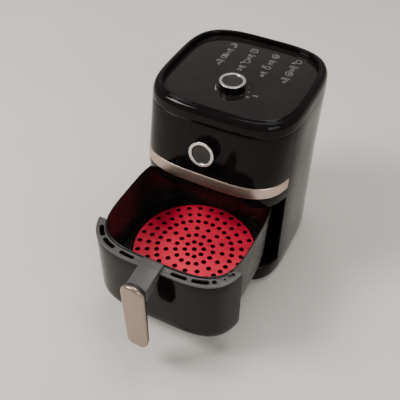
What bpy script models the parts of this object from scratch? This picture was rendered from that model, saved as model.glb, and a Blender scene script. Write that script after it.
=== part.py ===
"""Basket air fryer with its drawer drawn out: body, drawer, pan, crisper plate, silicone mat,
two dials, heater, fan and controls.  Units are metres, +Z is up and the front faces -Y.
Every dimension below is written in millimetres and multiplied by MM."""
import bpy, bmesh, math
from mathutils import Vector, Matrix

MM = 0.001
GAP = 0.4                     # running clearance between neighbouring pieces

# ---- driving dimensions (mm) -------------------------------------------------
FOOT_H = 8.0
Z_BODY0 = 8.0                 # lower edge of the side shell and plinth
Z_PLINTH = 37.6               # ledge under the drawer
Z_LIP = 188.0                 # lower edge of the fascia
Z_BAND0, Z_BAND1 = 208.7, 227.5
Z_SEAM = 312.3                # joint line below the top cover
Z_RIDGE = 338.1               # bead round the control panel
Z_PANEL = 329.0               # glossy top panel
Z_DIAL = 342.4                # top of the temperature dial
OPEN = 163.8                  # how far the drawer stands out at rest
SHELL_T = 2.5
SPLIT = math.radians(27.8)    # where side shell and front parts meet
Z_SHELL0 = 45.5               # lower edge of the drawer front
Z_COLLAR = 181.4              # top of the drawer collar
PAN_A, PAN_B, PAN_N, PAN_YC = 111.4, 107.2, 3.8, 4.2
PAN_T = 1.6
Z_PAN0, Z_PAN1 = 60.0, 183.2
Z_PLATE = 90.0                # top of the crisper plate
MAT_R, MAT_T = 101.5, 4.0
MAT_X, MAT_Y = 6.2, 6.9
DIAL_R = 20.7
TEMP_Y = -18.5                # temperature dial axis
TIMER_Z = 271.4               # timer dial centre
FAN_Y = 22.0                  # fan and motor axis
HANDLE_Y = -172.5             # front of the handle cover, drawer closed
HANDLE_W0, HANDLE_W1 = 38.5, 36.0
HANDLE_Z0, HANDLE_Z1 = 50.0, 196.0

for _o in list(bpy.data.objects):
    bpy.data.objects.remove(_o, do_unlink=True)

# ---- helpers -----------------------------------------------------------------
_MATS = {}
def material(name, rgb, rough=0.4, metal=0.0, coat=0.0):
    m = bpy.data.materials.new(name)
    m.use_nodes = True
    b = m.node_tree.nodes["Principled BSDF"]
    b.inputs["Base Color"].default_value = (rgb[0], rgb[1], rgb[2], 1.0)
    b.inputs["Roughness"].default_value = rough
    b.inputs["Metallic"].default_value = metal
    b.inputs["Coat Weight"].default_value = coat
    return m

FINISH = {
    "gloss_black": ((0.012, 0.010, 0.010), 0.12, 0.0, 0.6),
    "panel_black": ((0.020, 0.016, 0.015), 0.16, 0.0, 0.5),
    "grey_plastic": ((0.105, 0.100, 0.098), 0.42, 0.0, 0.0),
    "black_plastic": ((0.022, 0.021, 0.021), 0.45, 0.0, 0.0),
    "champagne": ((0.52, 0.44, 0.37), 0.33, 1.0, 0.0),
    "silver": ((0.74, 0.70, 0.67), 0.28, 1.0, 0.0),
    "nonstick": ((0.025, 0.023, 0.022), 0.35, 0.0, 0.0),
    "silicone": ((0.72, 0.018, 0.040), 0.50, 0.0, 0.0),
    "rubber": ((0.030, 0.030, 0.030), 0.75, 0.0, 0.0),
    "steel": ((0.60, 0.60, 0.61), 0.30, 1.0, 0.0),
    "heater": ((0.20, 0.17, 0.15), 0.50, 1.0, 0.0),
    "alu": ((0.72, 0.72, 0.73), 0.38, 1.0, 0.0),
    "white_plastic": ((0.62, 0.60, 0.55), 0.50, 0.0, 0.0),
    "brass": ((0.70, 0.52, 0.24), 0.32, 1.0, 0.0),
    "copper_winding": ((0.55, 0.25, 0.12), 0.40, 1.0, 0.0),
}

def make(name, verts, faces, finish, parent=None, smooth=True, origin=None):
    """One closed body from millimetre points; the origin can sit on a joint axis."""
    ox = Vector(origin) if origin is not None else Vector((0, 0, 0))
    me = bpy.data.meshes.new(name)
    me.from_pydata([((Vector(v) - ox) * MM) for v in verts], [], faces)
    bm = bmesh.new()
    bm.from_mesh(me)
    bmesh.ops.remove_doubles(bm, verts=bm.verts, dist=1e-6)
    bmesh.ops.recalc_face_normals(bm, faces=bm.faces)
    if bm.calc_volume(signed=True) < 0:
        bmesh.ops.reverse_faces(bm, faces=bm.faces)
    bm.to_mesh(me)
    bm.free()
    ob = bpy.data.objects.new(name, me)
    bpy.context.collection.objects.link(ob)
    rgb, r, m, c = FINISH[finish]
    ob.data.materials.append(material(name + "_mat", rgb, r, m, c))
    if smooth:
        for p in me.polygons:
            p.use_smooth = True
        md = ob.modifiers.new("edges", "EDGE_SPLIT")
        md.split_angle = math.radians(32)
        md.show_viewport = False
        md.show_render = False
        ob.modifiers.remove(md)
    ob.location = ox * MM
    if parent is not None:
        ob.parent = parent
    return ob

def empty(name, loc, parent=None):
    e = bpy.data.objects.new(name, None)
    e.empty_display_size = 0.02
    e.location = Vector(loc) * MM
    bpy.context.collection.objects.link(e)
    if parent is not None:
        e.parent = parent
    return e

def lerp(z, zs, vs):
    if z <= zs[0]:
        return vs[0]
    for i in range(1, len(zs)):
        if z <= zs[i]:
            t = (z - zs[i - 1]) / (zs[i] - zs[i - 1])
            return vs[i - 1] + t * (vs[i] - vs[i - 1])
    return vs[-1]

ZK = (0.0, Z_BAND0, Z_SEAM)
def outline(z):
    """Half width, centre y, front depth and power, rear depth and power of the body at z."""
    return (lerp(z, ZK, (125.1, 125.5, 123.7)), lerp(z, ZK, (0.6, 0.0, 16.9)),
            lerp(z, ZK, (120.2, 120.9, 119.0)), lerp(z, ZK, (4.1, 3.69, 3.69)),
            lerp(z, ZK, (132.0, 133.0, 119.0)), lerp(z, ZK, (3.7, 3.3, 3.69)))

def sup_r(th, a, b, n):
    c, s = abs(math.cos(th)), abs(math.sin(th))
    return 1.0 / ((c / a) ** n + (s / b) ** n) ** (1.0 / n)

_ROOT = {}
def body_pt(th, z, inset=0.0):
    """Point of the body outline at polar angle th about the body's own Z axis."""
    key = (round(th, 7), round(z, 4), round(inset, 4))
    if key in _ROOT:
        return _ROOT[key]
    a, yc, bf, nf, br, nr = outline(z)
    c, s = math.cos(th), math.sin(th)
    lo, hi = 20.0, 220.0
    for _ in range(42):
        r = 0.5 * (lo + hi)
        x, y = abs(r * c), r * s - yc
        b, n = (bf, nf) if y <= 0 else (br, nr)
        if (x / (a - inset)) ** n + (abs(y) / (b - inset)) ** n < 1.0:
            lo = r
        else:
            hi = r
    _ROOT[key] = (lo * c, lo * s, z)
    return _ROOT[key]

def even_angles(t0, t1, n, a=125.0, b=122.0, p=3.7, bias=0.55):
    """Polar angles from t0 to t1, closer together where the outline turns."""
    m = 720
    ts = [t0 + (t1 - t0) * i / m for i in range(m + 1)]
    pts = [(sup_r(t, a, b, p) * math.cos(t), sup_r(t, a, b, p) * math.sin(t)) for t in ts]
    acc = [0.0]
    prev = None
    for i in range(m):
        dx, dy = pts[i + 1][0] - pts[i][0], pts[i + 1][1] - pts[i][1]
        ang = math.atan2(dy, dx)
        turn = 0.0
        if prev is not None:
            turn = abs((ang - prev + math.pi) % (2 * math.pi) - math.pi)
        prev = ang
        acc.append(acc[-1] + (1 - bias) * math.hypot(dx, dy) / 800.0 + bias * turn / (2 * math.pi))
    out = []
    j = 0
    for k in range(n + 1):
        target = acc[-1] * k / n
        while j < m - 1 and acc[j + 1] < target:
            j += 1
        f = (target - acc[j]) / max(acc[j + 1] - acc[j], 1e-12)
        out.append(ts[j] + (ts[j + 1] - ts[j]) * min(max(f, 0.0), 1.0))
    return out

FULL = even_angles(0.0, 2 * math.pi, 44)[:-1]
SIDE = even_angles(-SPLIT + 0.0025, math.pi + SPLIT - 0.0025, 36)
FRONT = even_angles(math.pi + SPLIT + 0.0025, 2 * math.pi - SPLIT - 0.0025, 20)
FRONTX = even_angles(math.pi + SPLIT - 0.16, 2 * math.pi - SPLIT + 0.16, 24)
DRAWF = even_angles(math.pi + SPLIT + 0.008, 2 * math.pi - SPLIT - 0.008, 20)

def sweep(name, prof, angles, finish, closed, parent=None, ptf=body_pt, **kw):
    """Carry a closed (inset, z) section round the outline; open runs get end caps."""
    n, m = len(angles), len(prof)
    verts = [ptf(t, z, i) for t in angles for (i, z) in prof]
    faces = []
    for k in range(n if closed else n - 1):
        k2 = (k + 1) % n
        for j in range(m):
            j2 = (j + 1) % m
            faces.append((k * m + j, k * m + j2, k2 * m + j2, k2 * m + j))
    if not closed:
        faces.append(tuple(range(m)))
        faces.append(tuple((n - 1) * m + j for j in reversed(range(m))))
    return make(name, verts, faces, finish, parent, **kw)

def loft(name, rings, finish, parent=None, **kw):
    """Stack of equal closed rings capped at both ends."""
    m = len(rings[0])
    verts = [p for r in rings for p in r]
    faces = []
    for k in range(len(rings) - 1):
        for j in range(m):
            j2 = (j + 1) % m
            faces.append((k * m + j, k * m + j2, (k + 1) * m + j2, (k + 1) * m + j))
    faces.append(tuple(reversed(range(m))))
    faces.append(tuple((len(rings) - 1) * m + j for j in range(m)))
    return make(name, verts, faces, finish, parent, **kw)

def lathe(name, prof, finish, n=32, at=(0, 0, 0), rot=None, parent=None, **kw):
    """Closed (r, z) section turned about its own Z, then placed; axis points allowed."""
    R = rot if rot is not None else Matrix.Identity(3)
    c = Vector(at)
    verts, idx = [], []
    for (r, z) in prof:
        if r < 1e-6:
            idx.append([len(verts)] * n)
            verts.append(tuple(c + R @ Vector((0, 0, z))))
        else:
            row = []
            for k in range(n):
                t = 2 * math.pi * k / n
                row.append(len(verts))
                verts.append(tuple(c + R @ Vector((r * math.cos(t), r * math.sin(t), z))))
            idx.append(row)
    faces = []
    m = len(prof)
    for j in range(m):
        a, b = idx[j], idx[(j + 1) % m]
        if a[0] == a[-1] and b[0] == b[-1]:
            continue
        for k in range(n):
            k2 = (k + 1) % n
            f = []
            for v in (a[k], b[k], b[k2], a[k2]):
                if v not in f:
                    f.append(v)
            if len(f) > 2:
                faces.append(tuple(f))
    return make(name, verts, faces, finish, parent, **kw)

def box(name, lo, hi, finish, parent=None, rot=None, bev=0.0, **kw):
    """Box with bevelled edges between two corners, optionally turned about its centre."""
    lo, hi = Vector(lo), Vector(hi)
    c = (lo + hi) / 2
    h = (hi - lo) / 2
    bm = bmesh.new()
    bmesh.ops.create_cube(bm, size=2.0)
    for v in bm.verts:
        v.co = Vector((v.co.x * h.x, v.co.y * h.y, v.co.z * h.z))
    if bev > 0:
        bmesh.ops.bevel(bm, geom=list(bm.edges), offset=bev, segments=1, affect='EDGES', profile=0.5)
    R = rot if rot is not None else Matrix.Identity(3)
    bm.verts.index_update()
    verts = [tuple(c + R @ v.co) for v in bm.verts]
    faces = [tuple(v.index for v in f.verts) for f in bm.faces]
    bm.free()
    return make(name, verts, faces, finish, parent, **kw)

def prism(name, poly, z0, z1, finish, parent=None, bev=0.0, **kw):
    """Upright prism over a plan polygon with a small top and bottom chamfer."""
    def shrink(p, d):
        n = len(p)
        out = []
        for i in range(n):
            a, b, c = Vector(p[i - 1]), Vector(p[i]), Vector(p[(i + 1) % n])
            e1, e2 = (b - a).normalized(), (c - b).normalized()
            n1, n2 = Vector((-e1.y, e1.x)), Vector((-e2.y, e2.x))
            m = (n1 + n2)
            m = m.normalized() if m.length > 1e-9 else n1
            out.append(tuple(b + m * (d / max(m.dot(n1), 0.5))))
        return out
    if bev > 0:
        q = shrink(poly, bev)
        rings = [[(x, y, z0) for x, y in q], [(x, y, z0 + bev) for x, y in poly],
                 [(x, y, z1 - bev) for x, y in poly], [(x, y, z1) for x, y in q]]
    else:
        rings = [[(x, y, z0) for x, y in poly], [(x, y, z1) for x, y in poly]]
    return loft(name, rings, finish, parent, **kw)

def tube(name, path, r, finish, n=10, closed=False, parent=None, up=(0, 0, 1), **kw):
    """Round bar along a path of points."""
    P = [Vector(p) for p in path]
    m = len(P)
    verts = []
    for i in range(m):
        if closed:
            d = (P[(i + 1) % m] - P[i - 1]).normalized()
        else:
            d = (P[min(i + 1, m - 1)] - P[max(i - 1, 0)]).normalized()
        u = Vector(up)
        s = d.cross(u)
        if s.length < 1e-4:
            s = d.cross(Vector((1, 0, 0)))
        s.normalize()
        v = s.cross(d).normalized()
        for k in range(n):
            t = 2 * math.pi * k / n
            verts.append(tuple(P[i] + s * (r * math.cos(t)) + v * (r * math.sin(t))))
    faces = []
    for i in range(m if closed else m - 1):
        i2 = (i + 1) % m
        for k in range(n):
            k2 = (k + 1) % n
            faces.append((i * n + k, i * n + k2, i2 * n + k2, i2 * n + k))
    if not closed:
        faces.append(tuple(reversed(range(n))))
        faces.append(tuple((m - 1) * n + k for k in range(n)))
    return make(name, verts, faces, finish, parent, **kw)

def cut(ob, cutters, op='DIFFERENCE'):
    """Exact boolean, applied, with the second operands removed afterwards."""
    for c in cutters:
        c.hide_render = True
        c.display_type = 'WIRE'
        md = ob.modifiers.new("cut", "BOOLEAN")
        md.operation = op
        md.solver = 'EXACT'
        md.object = c
        bpy.context.view_layer.update()
        dg = bpy.context.evaluated_depsgraph_get()
        me = bpy.data.meshes.new_from_object(ob.evaluated_get(dg))
        ob.modifiers.remove(md)
        old = ob.data
        ob.data = me
        bpy.data.meshes.remove(old)
        bpy.data.objects.remove(c, do_unlink=True)
    bm = bmesh.new()
    bm.from_mesh(ob.data)
    bmesh.ops.remove_doubles(bm, verts=bm.verts, dist=2e-6)
    bmesh.ops.dissolve_degenerate(bm, dist=1e-6, edges=bm.edges)
    bmesh.ops.recalc_face_normals(bm, faces=bm.faces)
    bm.to_mesh(ob.data)
    bm.free()
    for p in ob.data.polygons:
        p.use_smooth = True
    return ob

# ---- frame: origin ends up under the middle of everything --------------------
CENTRE_Y = 0.5 * ((HANDLE_Y - OPEN) + 136.4)
root = empty("frame", (0, -CENTRE_Y, 0))
drawer = empty("drawer_axis", (0, -OPEN, 0), root)

# ---- body --------------------------------------------------------------------
T = SHELL_T
sweep("side_shell", [(0, Z_BODY0), (0.3, 70), (0, 208), (0, 262), (0, Z_SEAM), (T, Z_SEAM), (T, 262), (T, 208),
                     (T, 70), (T, Z_BODY0)], SIDE, "gloss_black", False, root)
ZT = Z_SEAM + GAP
sweep("top_cover", [(0, ZT), (0.5, 321.5), (1.9, 328.6), (4.6, 333.6), (7.2, 335.3), (9.0, 335.5), (10.4, 336.8),
                    (12.2, Z_RIDGE), (13.9, 337.2), (14.8, 334.2), (15.0, 326.4), (22.0, 326.4), (22.0, 324.2),
                    (12.6, 324.2), (12.4, 333.4), (8.0, 332.6), (4.4, 328.0), (2.9, ZT)], FULL, "gloss_black", True, root)
panel = loft("top_panel", [[body_pt(t, z, i)[:2] + (z,) for t in FULL] for z, i in
                           ((326.8, 15.8), (328.6, 15.5), (Z_PANEL, 16.1))], "panel_black", root)
cut(panel, [lathe("c1", [(0, 320), (4.6, 320), (4.6, 335), (0, 335)], "steel", 20, (0, TEMP_Y, 0), parent=root)])
fas = sweep("front_fascia", [(0, Z_LIP + 0.8), (0.6, Z_LIP), (T + 4.5, Z_LIP), (T + 4.5, Z_LIP + 2.4), (T, Z_LIP + 2.6),
                             (T + 0.9, Z_BAND0 - 2), (T + 0.9, Z_BAND1 + 2), (T, Z_BAND1 + 4), (T, Z_SEAM),
                             (0, Z_SEAM), (0, Z_BAND1 + 0.3), (1.5, Z_BAND1 + 0.3), (1.5, Z_BAND0 - 0.3),
                             (0, Z_BAND0 - 0.3)], FRONTX, "gloss_black", False, root)
sweep("band_trim", [(0.1, Z_BAND0 + 0.2), (-0.35, Z_BAND0 + 0.9), (-0.35, Z_BAND1 - 0.9), (0.1, Z_BAND1 - 0.2),
                    (1.1, Z_BAND1 - 0.2), (1.1, Z_BAND0 + 0.2)], FRONTX, "champagne", False, root)
def seam_cut(name, side, off):
    """Wedge in front of (side -1) or behind (side +1) the raked joint between fascia and side shell."""
    y0, k = -64.2 + off, 0.15
    poly = [(y0, -5.0), (y0, Z_BAND0), (y0 + k * (330 - Z_BAND0), 330.0), (side * 260.0, 330.0), (side * 260.0, -5.0)]
    rings = [[(x, y, z) for y, z in poly] for x in (-160.0, 160.0)]
    return loft(name, rings, "steel", root)
LEAN = math.atan2(16.9 + 1.9, Z_SEAM - Z_BAND0)
TIM_N = Vector((0, -math.cos(LEAN), math.sin(LEAN)))          # outward along the timer axis
TIM_R = Matrix((Vector((1, 0, 0)), TIM_N.cross(Vector((1, 0, 0))), TIM_N)).transposed()
TIM_P = Vector(body_pt(1.5 * math.pi, TIMER_Z))
cut(fas, [lathe("c2", [(0, -12), (5.0, -12), (5.0, 12), (0, 12)], "steel", 20, TIM_P, TIM_R, root), seam_cut("c6", 1, -0.35)])
cut(bpy.data.objects["band_trim"], [seam_cut("c7", 1, -0.6)])
cut(bpy.data.objects["side_shell"], [seam_cut("c8", -1, 0.35)])
sweep("front_plinth", [(0.8, Z_BODY0), (0, Z_BODY0 + 0.8), (0, Z_PLINTH - 1.6), (1.2, Z_PLINTH), (30.0, Z_PLINTH),
                       (30.0, Z_PLINTH - 2.4), (T, Z_PLINTH - 2.6), (T, Z_BODY0)], FRONT, "gloss_black", False, root)
IN_B = T + GAP
base = loft("base_tray", [[body_pt(t, 10, i)[:2] + (z,) for t in FULL] for z, i in
                          ((8.4, IN_B + 0.8), (9.0, IN_B + 0.2), (11.4, IN_B + 0.2))], "black_plastic", root)
for sx, nm in ((-1, "left"), (1, "right")):
    box("runner_" + nm, (sx * 78 - 6, -70, 11.8), (sx * 78 + 6, 108, 59.4), "black_plastic", root, bev=1.0)
# inner chamber: wall, roof with the fan well
LI = 7.2
sweep("chamber_wall", [(LI, 12.0), (LI, 217.4), (LI + 9, 217.4), (LI + 9, 216.2), (LI + 1.2, 216.2), (LI + 1.2, 12.0)],
      even_angles(-math.radians(24.0), math.pi + math.radians(24.0), 34), "nonstick", False, root)
ROOF = even_angles(0.0, 2 * math.pi, 36)[:-1]
def roof_ring(r_in, z):
    return [(r_in * math.cos(t), FAN_Y + r_in * math.sin(t), z) for t in ROOF]
def roof_out(z, i):
    return [body_pt(t, 200, i)[:2] + (z,) for t in ROOF]
def annular(name, rings, finish, parent=None):
    m = len(rings[0])
    verts = [p for r in rings for p in r]
    faces = []
    for k in range(len(rings)):
        k2 = (k + 1) % len(rings)
        for j in range(m):
            j2 = (j + 1) % m
            faces.append((k * m + j, k * m + j2, k2 * m + j2, k2 * m + j))
    return make(name, verts, faces, finish, parent)
annular("chamber_roof", [roof_out(218.0, 12.5), roof_out(219.4, 12.5), roof_ring(78.4, 219.4), roof_ring(66.0, 240.2),
                         roof_ring(8.0, 240.2), roof_ring(8.0, 239.0), roof_ring(65.0, 239.0), roof_ring(77.4, 218.0)],
        "alu", root)
# heater: flat coil of two turns with raised ends, and its guard
coil = []
for k in range(57):
    t = -0.5 * math.pi + 4 * math.pi * k / 56 * 0.94
    r = 62.0 - 20.0 * k / 56
    coil.append((r * math.cos(t), FAN_Y + r * math.sin(t), 204.0))
e0, e1 = coil[0], coil[-1]
coil = [(e0[0], e0[1] - 1.5, 214.0), (e0[0], e0[1] - 1.0, 206.5)] + coil[1:-1] + [(e1[0], e1[1] - 1.0, 206.5), (e1[0], e1[1] - 1.5, 214.0)]
tube("heater_coil", coil, 3.0, "heater", 8, parent=root)
GR = even_angles(0, 2 * math.pi, 40, 70, 70, 2.0)[:-1]
def ring_at(r, z, c=(0, FAN_Y), ang=GR):
    return [(c[0] + r * math.cos(t), c[1] + r * math.sin(t), z) for t in ang]
guard = annular("heater_guard", [ring_at(84, 196.0), ring_at(84, 197.4), ring_at(12, 197.4), ring_at(12, 196.0)], "steel", root)
gc = []
for k in range(12):
    t0 = 2 * math.pi * k / 12
    pts = []
    for r, s in ((20, 1), (74, 1), (74, -1), (20, -1)):
        w = math.radians(15) - 3.4 / r
        pts.append((r * math.cos(t0 + s * -w), FAN_Y + r * math.sin(t0 + s * -w)))
    gc.append(prism("cg%02d" % k, pts, 190, 204, "steel", root))
cut(guard, gc)
for k in range(3):
    t = 2 * math.pi * (k + 0.25) / 3
    lathe("guard_post_%d" % (k + 1), [(0, 197.8), (3.2, 197.8), (3.2, 217.6), (0, 217.6)], "steel", 12,
          (80.6 * math.cos(t), FAN_Y + 80.6 * math.sin(t), 0), parent=root)
# fan rotor: shaft, hot-air fan, cooling fan
rotor = empty("fan_axis", (0, FAN_Y, 0), root)
def r_make(name, prof, finish, n=24):
    return lathe(name, prof, finish, n, (0, FAN_Y, 0), parent=root)
lathe("motor_shaft", [(0, 207.0), (2.4, 207.0), (2.4, 290.0), (0, 290.0)], "steel", 14, (0, 0, 0), parent=rotor)
def fan(name, z0, z1, r0, r1, hub, blades, finish, pitch):
    """Flat blades let into a hub, all one body, built as a star-shaped plate with folded blades."""
    n = blades
    lo, hi = [], []
    for k in range(n):
        a0 = 2 * math.pi * k / n
        for (r, da, dz) in ((r0, 0.0, 0.0), (r1, 0.06, 0.0), (r1, 0.06 + 0.5 * 2 * math.pi / n, pitch),
                            (r0, 0.55 * 2 * math.pi / n, pitch * 0.5)):
            a = a0 + da
            lo.append((r * math.cos(a), r * math.sin(a), z0 + dz))
            hi.append((r * math.cos(a), r * math.sin(a), z1 + dz))
    m = len(lo)
    hin = [(hub * math.cos(2 * math.pi * k / m), hub * math.sin(2 * math.pi * k / m), z0) for k in range(m)]
    hit = [(hub * math.cos(2 * math.pi * k / m), hub * math.sin(2 * math.pi * k / m), z1) for k in range(m)]
    verts = lo + hi + hin + hit
    faces = []
    for j in range(m):
        j2 = (j + 1) % m
        faces.append((j, j2, m + j2, m + j))
        faces.append((2 * m + j, 3 * m + j, 3 * m + j2, 2 * m + j2))
        faces.append((j, 2 * m + j, 2 * m + j2, j2))
        faces.append((m + j, m + j2, 3 * m + j2, 3 * m + j))
    return make(name, verts, faces, finish, rotor)
fan("convection_fan", 216.0, 217.4, 17.0, 58.0, 2.9, 8, "steel", 9.0)
fan("cooling_fan", 272.0, 274.0, 15.0, 44.0, 2.9, 7, "black_plastic", 8.0)
lathe("motor_body", [(4.0, 246.0), (26.0, 246.0), (27.5, 247.5), (27.5, 262.5), (26.0, 264.0), (4.0, 264.0)], "steel", 28,
      (0, FAN_Y, 0), parent=root)
lathe("motor_bracket", [(9.0, 240.8), (40.0, 240.8), (40.0, 242.4), (34.0, 242.4), (30.0, 245.4), (9.0, 245.4)], "alu", 24,
      (0, FAN_Y, 0), parent=root)
annular("fan_shroud", [ring_at(60, 240.7), ring_at(50, 268.0), ring_at(50, 288.0), ring_at(48.6, 288.0),
                       ring_at(48.6, 268.4), ring_at(58.5, 240.7)], "black_plastic", root)
# controls
def shift(prof, dz):
    return [(r, z + dz) for r, z in prof]
box("thermostat_body", (-17, TEMP_Y - 15, 296.0), (17, TEMP_Y + 15, 320.5), "white_plastic", root, bev=1.2)
tube("thermostat_bulb", [(-24, -66, 206), (0, -66.5, 206), (24, -66, 206)], 2.2, "brass", 8, parent=root)
def tim_box(name, lo, hi, finish, bev=1.0):
    lo, hi = Vector(lo), Vector(hi)
    c = (lo + hi) / 2
    h = (hi - lo) / 2
    cc = TIM_P + TIM_R @ c
    return box(name, cc - h, cc + h, finish, root, rot=TIM_R, bev=bev)
tim_box("timer_body", (-21, -21, -34), (21, 21, -7.2), "white_plastic")
lathe("timer_bell", [(4.0, -41.0), (19.0, -39.0), (20.5, -35.0), (19.0, -35.0), (17.6, -37.6), (4.0, -39.6)], "steel", 24,
      TIM_P, TIM_R, root)
# dials
temp = empty("temp_dial_axis", (0, TEMP_Y, 0), root)
def dial(pref, base_z, top_z, parent, at, rot):
    """Dial of four pieces: skirt body, bright ring, recessed cap and D shaft."""
    R = DIAL_R
    b = lathe(pref + "_dial_body", [(3.4, base_z), (R - 1.0, base_z), (R - 0.2, base_z + 0.8), (R - 0.5, top_z - 1.6),
                                    (R - 3.9, top_z - 1.6), (R - 3.9, top_z - 4.4), (3.4, top_z - 4.4)],
              "gloss_black", 40, at, rot, parent)
    lathe(pref + "_dial_ring",
          [(R - 4.8, top_z - 1.3), (R - 0.4, top_z - 1.3), (R, top_z - 0.8), (R - 0.6, top_z), (R - 4.2, top_z),
           (R - 4.8, top_z - 0.6)], "silver", 40, at, rot, parent)
    lathe(pref + "_dial_cap", [(0, top_z - 4.0), (R - 5.4, top_z - 4.0), (R - 5.4, top_z - 1.9), (0, top_z - 1.9)],
          "panel_black", 36, at, rot, parent)
    lathe(pref + "_dial_shaft", [(0, base_z - 7.6), (3.0, base_z - 7.6), (3.0, top_z - 4.8), (0, top_z - 4.8)],
          "brass", 14, at, rot, parent)
dial("temp", Z_PANEL + 0.8, Z_DIAL, temp, (0, 0, 0), None)
timer = empty("timer_dial_axis", TIM_P, root)
dial("timer", 1.0, 14.6, timer, (0, 0, 0), TIM_R)
# electrical fittings (seen only with the cover off)
box("terminal_block", (52, 90, 219.9), (84, 102, 233), "white_plastic", root, bev=0.8)
DOWN_Y = Matrix(((1, 0, 0), (0, 0, -1), (0, 1, 0)))           # local Z turned to point along -Y
UP_Y = Matrix(((1, 0, 0), (0, 0, 1), (0, -1, 0)))             # local Z turned to point along +Y
sw = box("microswitch", (100.5, -70, 184.4), (109.5, -53, 196), "black_plastic", root, bev=0.6)
cut(sw, [lathe("c3", [(0, -8.5), (1.7, -8.5), (1.7, 1), (0, 1)], "steel", 12, (106, -70, 186.5), DOWN_Y, root)])
lathe("switch_plunger", [(0, -6.0), (1.2, -6.0), (1.2, 6.0), (0, 6.0)], "brass", 12, (106, -70, 186.5), DOWN_Y, root,
      origin=(106, -70, 186.5))

# rear: vent grille in its opening, duct behind it, cord outlet
def rear_pt(x, z, i):
    a, yc, bf, nf, br, nr = outline(z)
    return (x, yc + (br - i) * (1 - (abs(x) / (a - i)) ** nr) ** (1 / nr), z)
def rear_plate(name, x0, x1, z0, z1, i0, i1, finish, n=8):
    """Curved plate following the rear wall between two insets."""
    prof = [(z0, i0), (z1, i0), (z1, i1), (z0, i1)]
    verts = [rear_pt(x0 + (x1 - x0) * k / n, z, i) for k in range(n + 1) for z, i in prof]
    faces = []
    for k in range(n):
        for j in range(4):
            j2 = (j + 1) % 4
            faces.append((k * 4 + j, k * 4 + j2, (k + 1) * 4 + j2, (k + 1) * 4 + j))
    faces.append((0, 1, 2, 3))
    faces.append(tuple(reversed([n * 4 + j for j in range(4)])))
    return make(name, verts, faces, finish, root)
VX, VZ0, VZ1 = 46.0, 214.0, 276.0
cut(bpy.data.objects["side_shell"], [box("c4", (-VX, 110, VZ0), (VX, 150, VZ1), "steel", root)])
grille = rear_plate("rear_grille", -VX + 0.5, VX - 0.5, VZ0 + 0.5, VZ1 - 0.5, -0.5, 1.8, "black_plastic")
cut(grille, [box("c5%d" % k, (-38, 110, VZ0 + 6.0 + 8.0 * k), (38, 150, VZ0 + 10.0 + 8.0 * k), "steel", root) for k in range(7)])
def rect(x, z0, z1, y):
    return [(-x, y, z0), (x, y, z0), (x, y, z1), (-x, y, z1)]
annular("exhaust_duct", [rect(44, 222, 270, 102), rect(44, 222, 270, 126), rect(42.6, 223.4, 268.6, 126), rect(42.6, 223.4, 268.6, 102)],
        "alu", root)
lathe("cord_outlet", [(4.0, 0), (11.0, 0), (11.0, 1.6), (8.0, 3.4), (4.0, 3.4)], "rubber", 24, (-30, 133.0, 44), UP_Y, root)
# feet and base screws
for k, (x, y) in enumerate(((-86, -84), (86, -84), (-86, 96), (86, 96))):
    lathe("foot_%d" % (k + 1), [(0, 0), (11, 0), (12, 1.2), (10.5, 8.0), (0, 8.0)], "rubber", 28, (x, y, 0), parent=root)
for k, (x, y) in enumerate(((0, -98), (0, 112))):
    lathe("base_screw_%d" % (k + 1), [(0, 6.0), (2.6, 6.0), (3.6, 7.0), (3.6, 8.0), (0, 8.0)], "steel", 16, (x, y, 0), parent=root)

# ---- drawer ------------------------------------------------------------------
sweep("drawer_front", [(0, 177.8), (0, 118), (0, 66), (0.9, 56), (3.2, 50.0), (7.2, 46.4), (11.5, Z_SHELL0),
                       (11.5, Z_SHELL0 + 2.4), (8.0, 49.0), (5.0, 52.4), (3.4, 57.2), (2.7, 66), (2.7, 118), (2.7, 177.8)],
      DRAWF, "gloss_black", False, drawer)
def pan_pt(th, z, d):
    r = sup_r(th, PAN_A - d, PAN_B - d, PAN_N)
    return (r * math.cos(th), PAN_YC + r * math.sin(th), z)
# end ribs that close the space between the front shell and the pan
RIB = [(107.9, 177.4), (107.4, 150.0), (105.3, 96.0), (103.7, 76.0), (100.4, 62.0), (100.4, 58.0), (119.6, 58.0), (120.7, 66.0),
       (120.7, 177.4)]
ribs = [loft("rib%d" % k, [[(sx * x, y, z) for x, z in RIB] for y in (-67.8, -65.9)], "gloss_black", drawer)
        for k, sx in enumerate((-1, 1))]
cut(bpy.data.objects["drawer_front"], ribs, 'UNION')
outer = [body_pt(t, 181.0, 0.0)[:2] for t in DRAWF]
def inner_end(pt):
    """Polar angle on the pan side of the collar level with an end of the outer edge."""
    best = None
    for k in range(2000):
        t = math.pi + math.pi * k / 2000.0
        x, y, _ = pan_pt(t, 0, -3.1)
        if (x > 0) == (pt[0] > 0):
            e = abs(y - pt[1])
            if best is None or e < best[0]:
                best = (e, t)
    return best[1]
tl, tr = inner_end(outer[0]), inner_end(outer[-1])
inner = [pan_pt(t, 0, -3.1)[:2] for t in even_angles(tr, tl, 20)]
collar = prism("collar", outer + inner, 178.2, Z_COLLAR, "grey_plastic", drawer, bev=0.7)
def slot_cut(name, ang, half, w=3.0, d=8.0):
    c = math.radians(270 + ang)
    pts = []
    hs = math.radians(half)
    for k in range(7):
        pts.append(body_pt(c - hs + 2 * hs * k / 6, 181, d + w)[:2])
    e = body_pt(c + hs + math.radians(0.95), 181, d)[:2]
    pts.append(e)
    for k in range(7):
        pts.append(body_pt(c + hs - 2 * hs * k / 6, 181, d - w)[:2])
    pts.append(body_pt(c - hs - math.radians(0.95), 181, d)[:2])
    return prism(name, pts, 170, 190, "steel", drawer)
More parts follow.
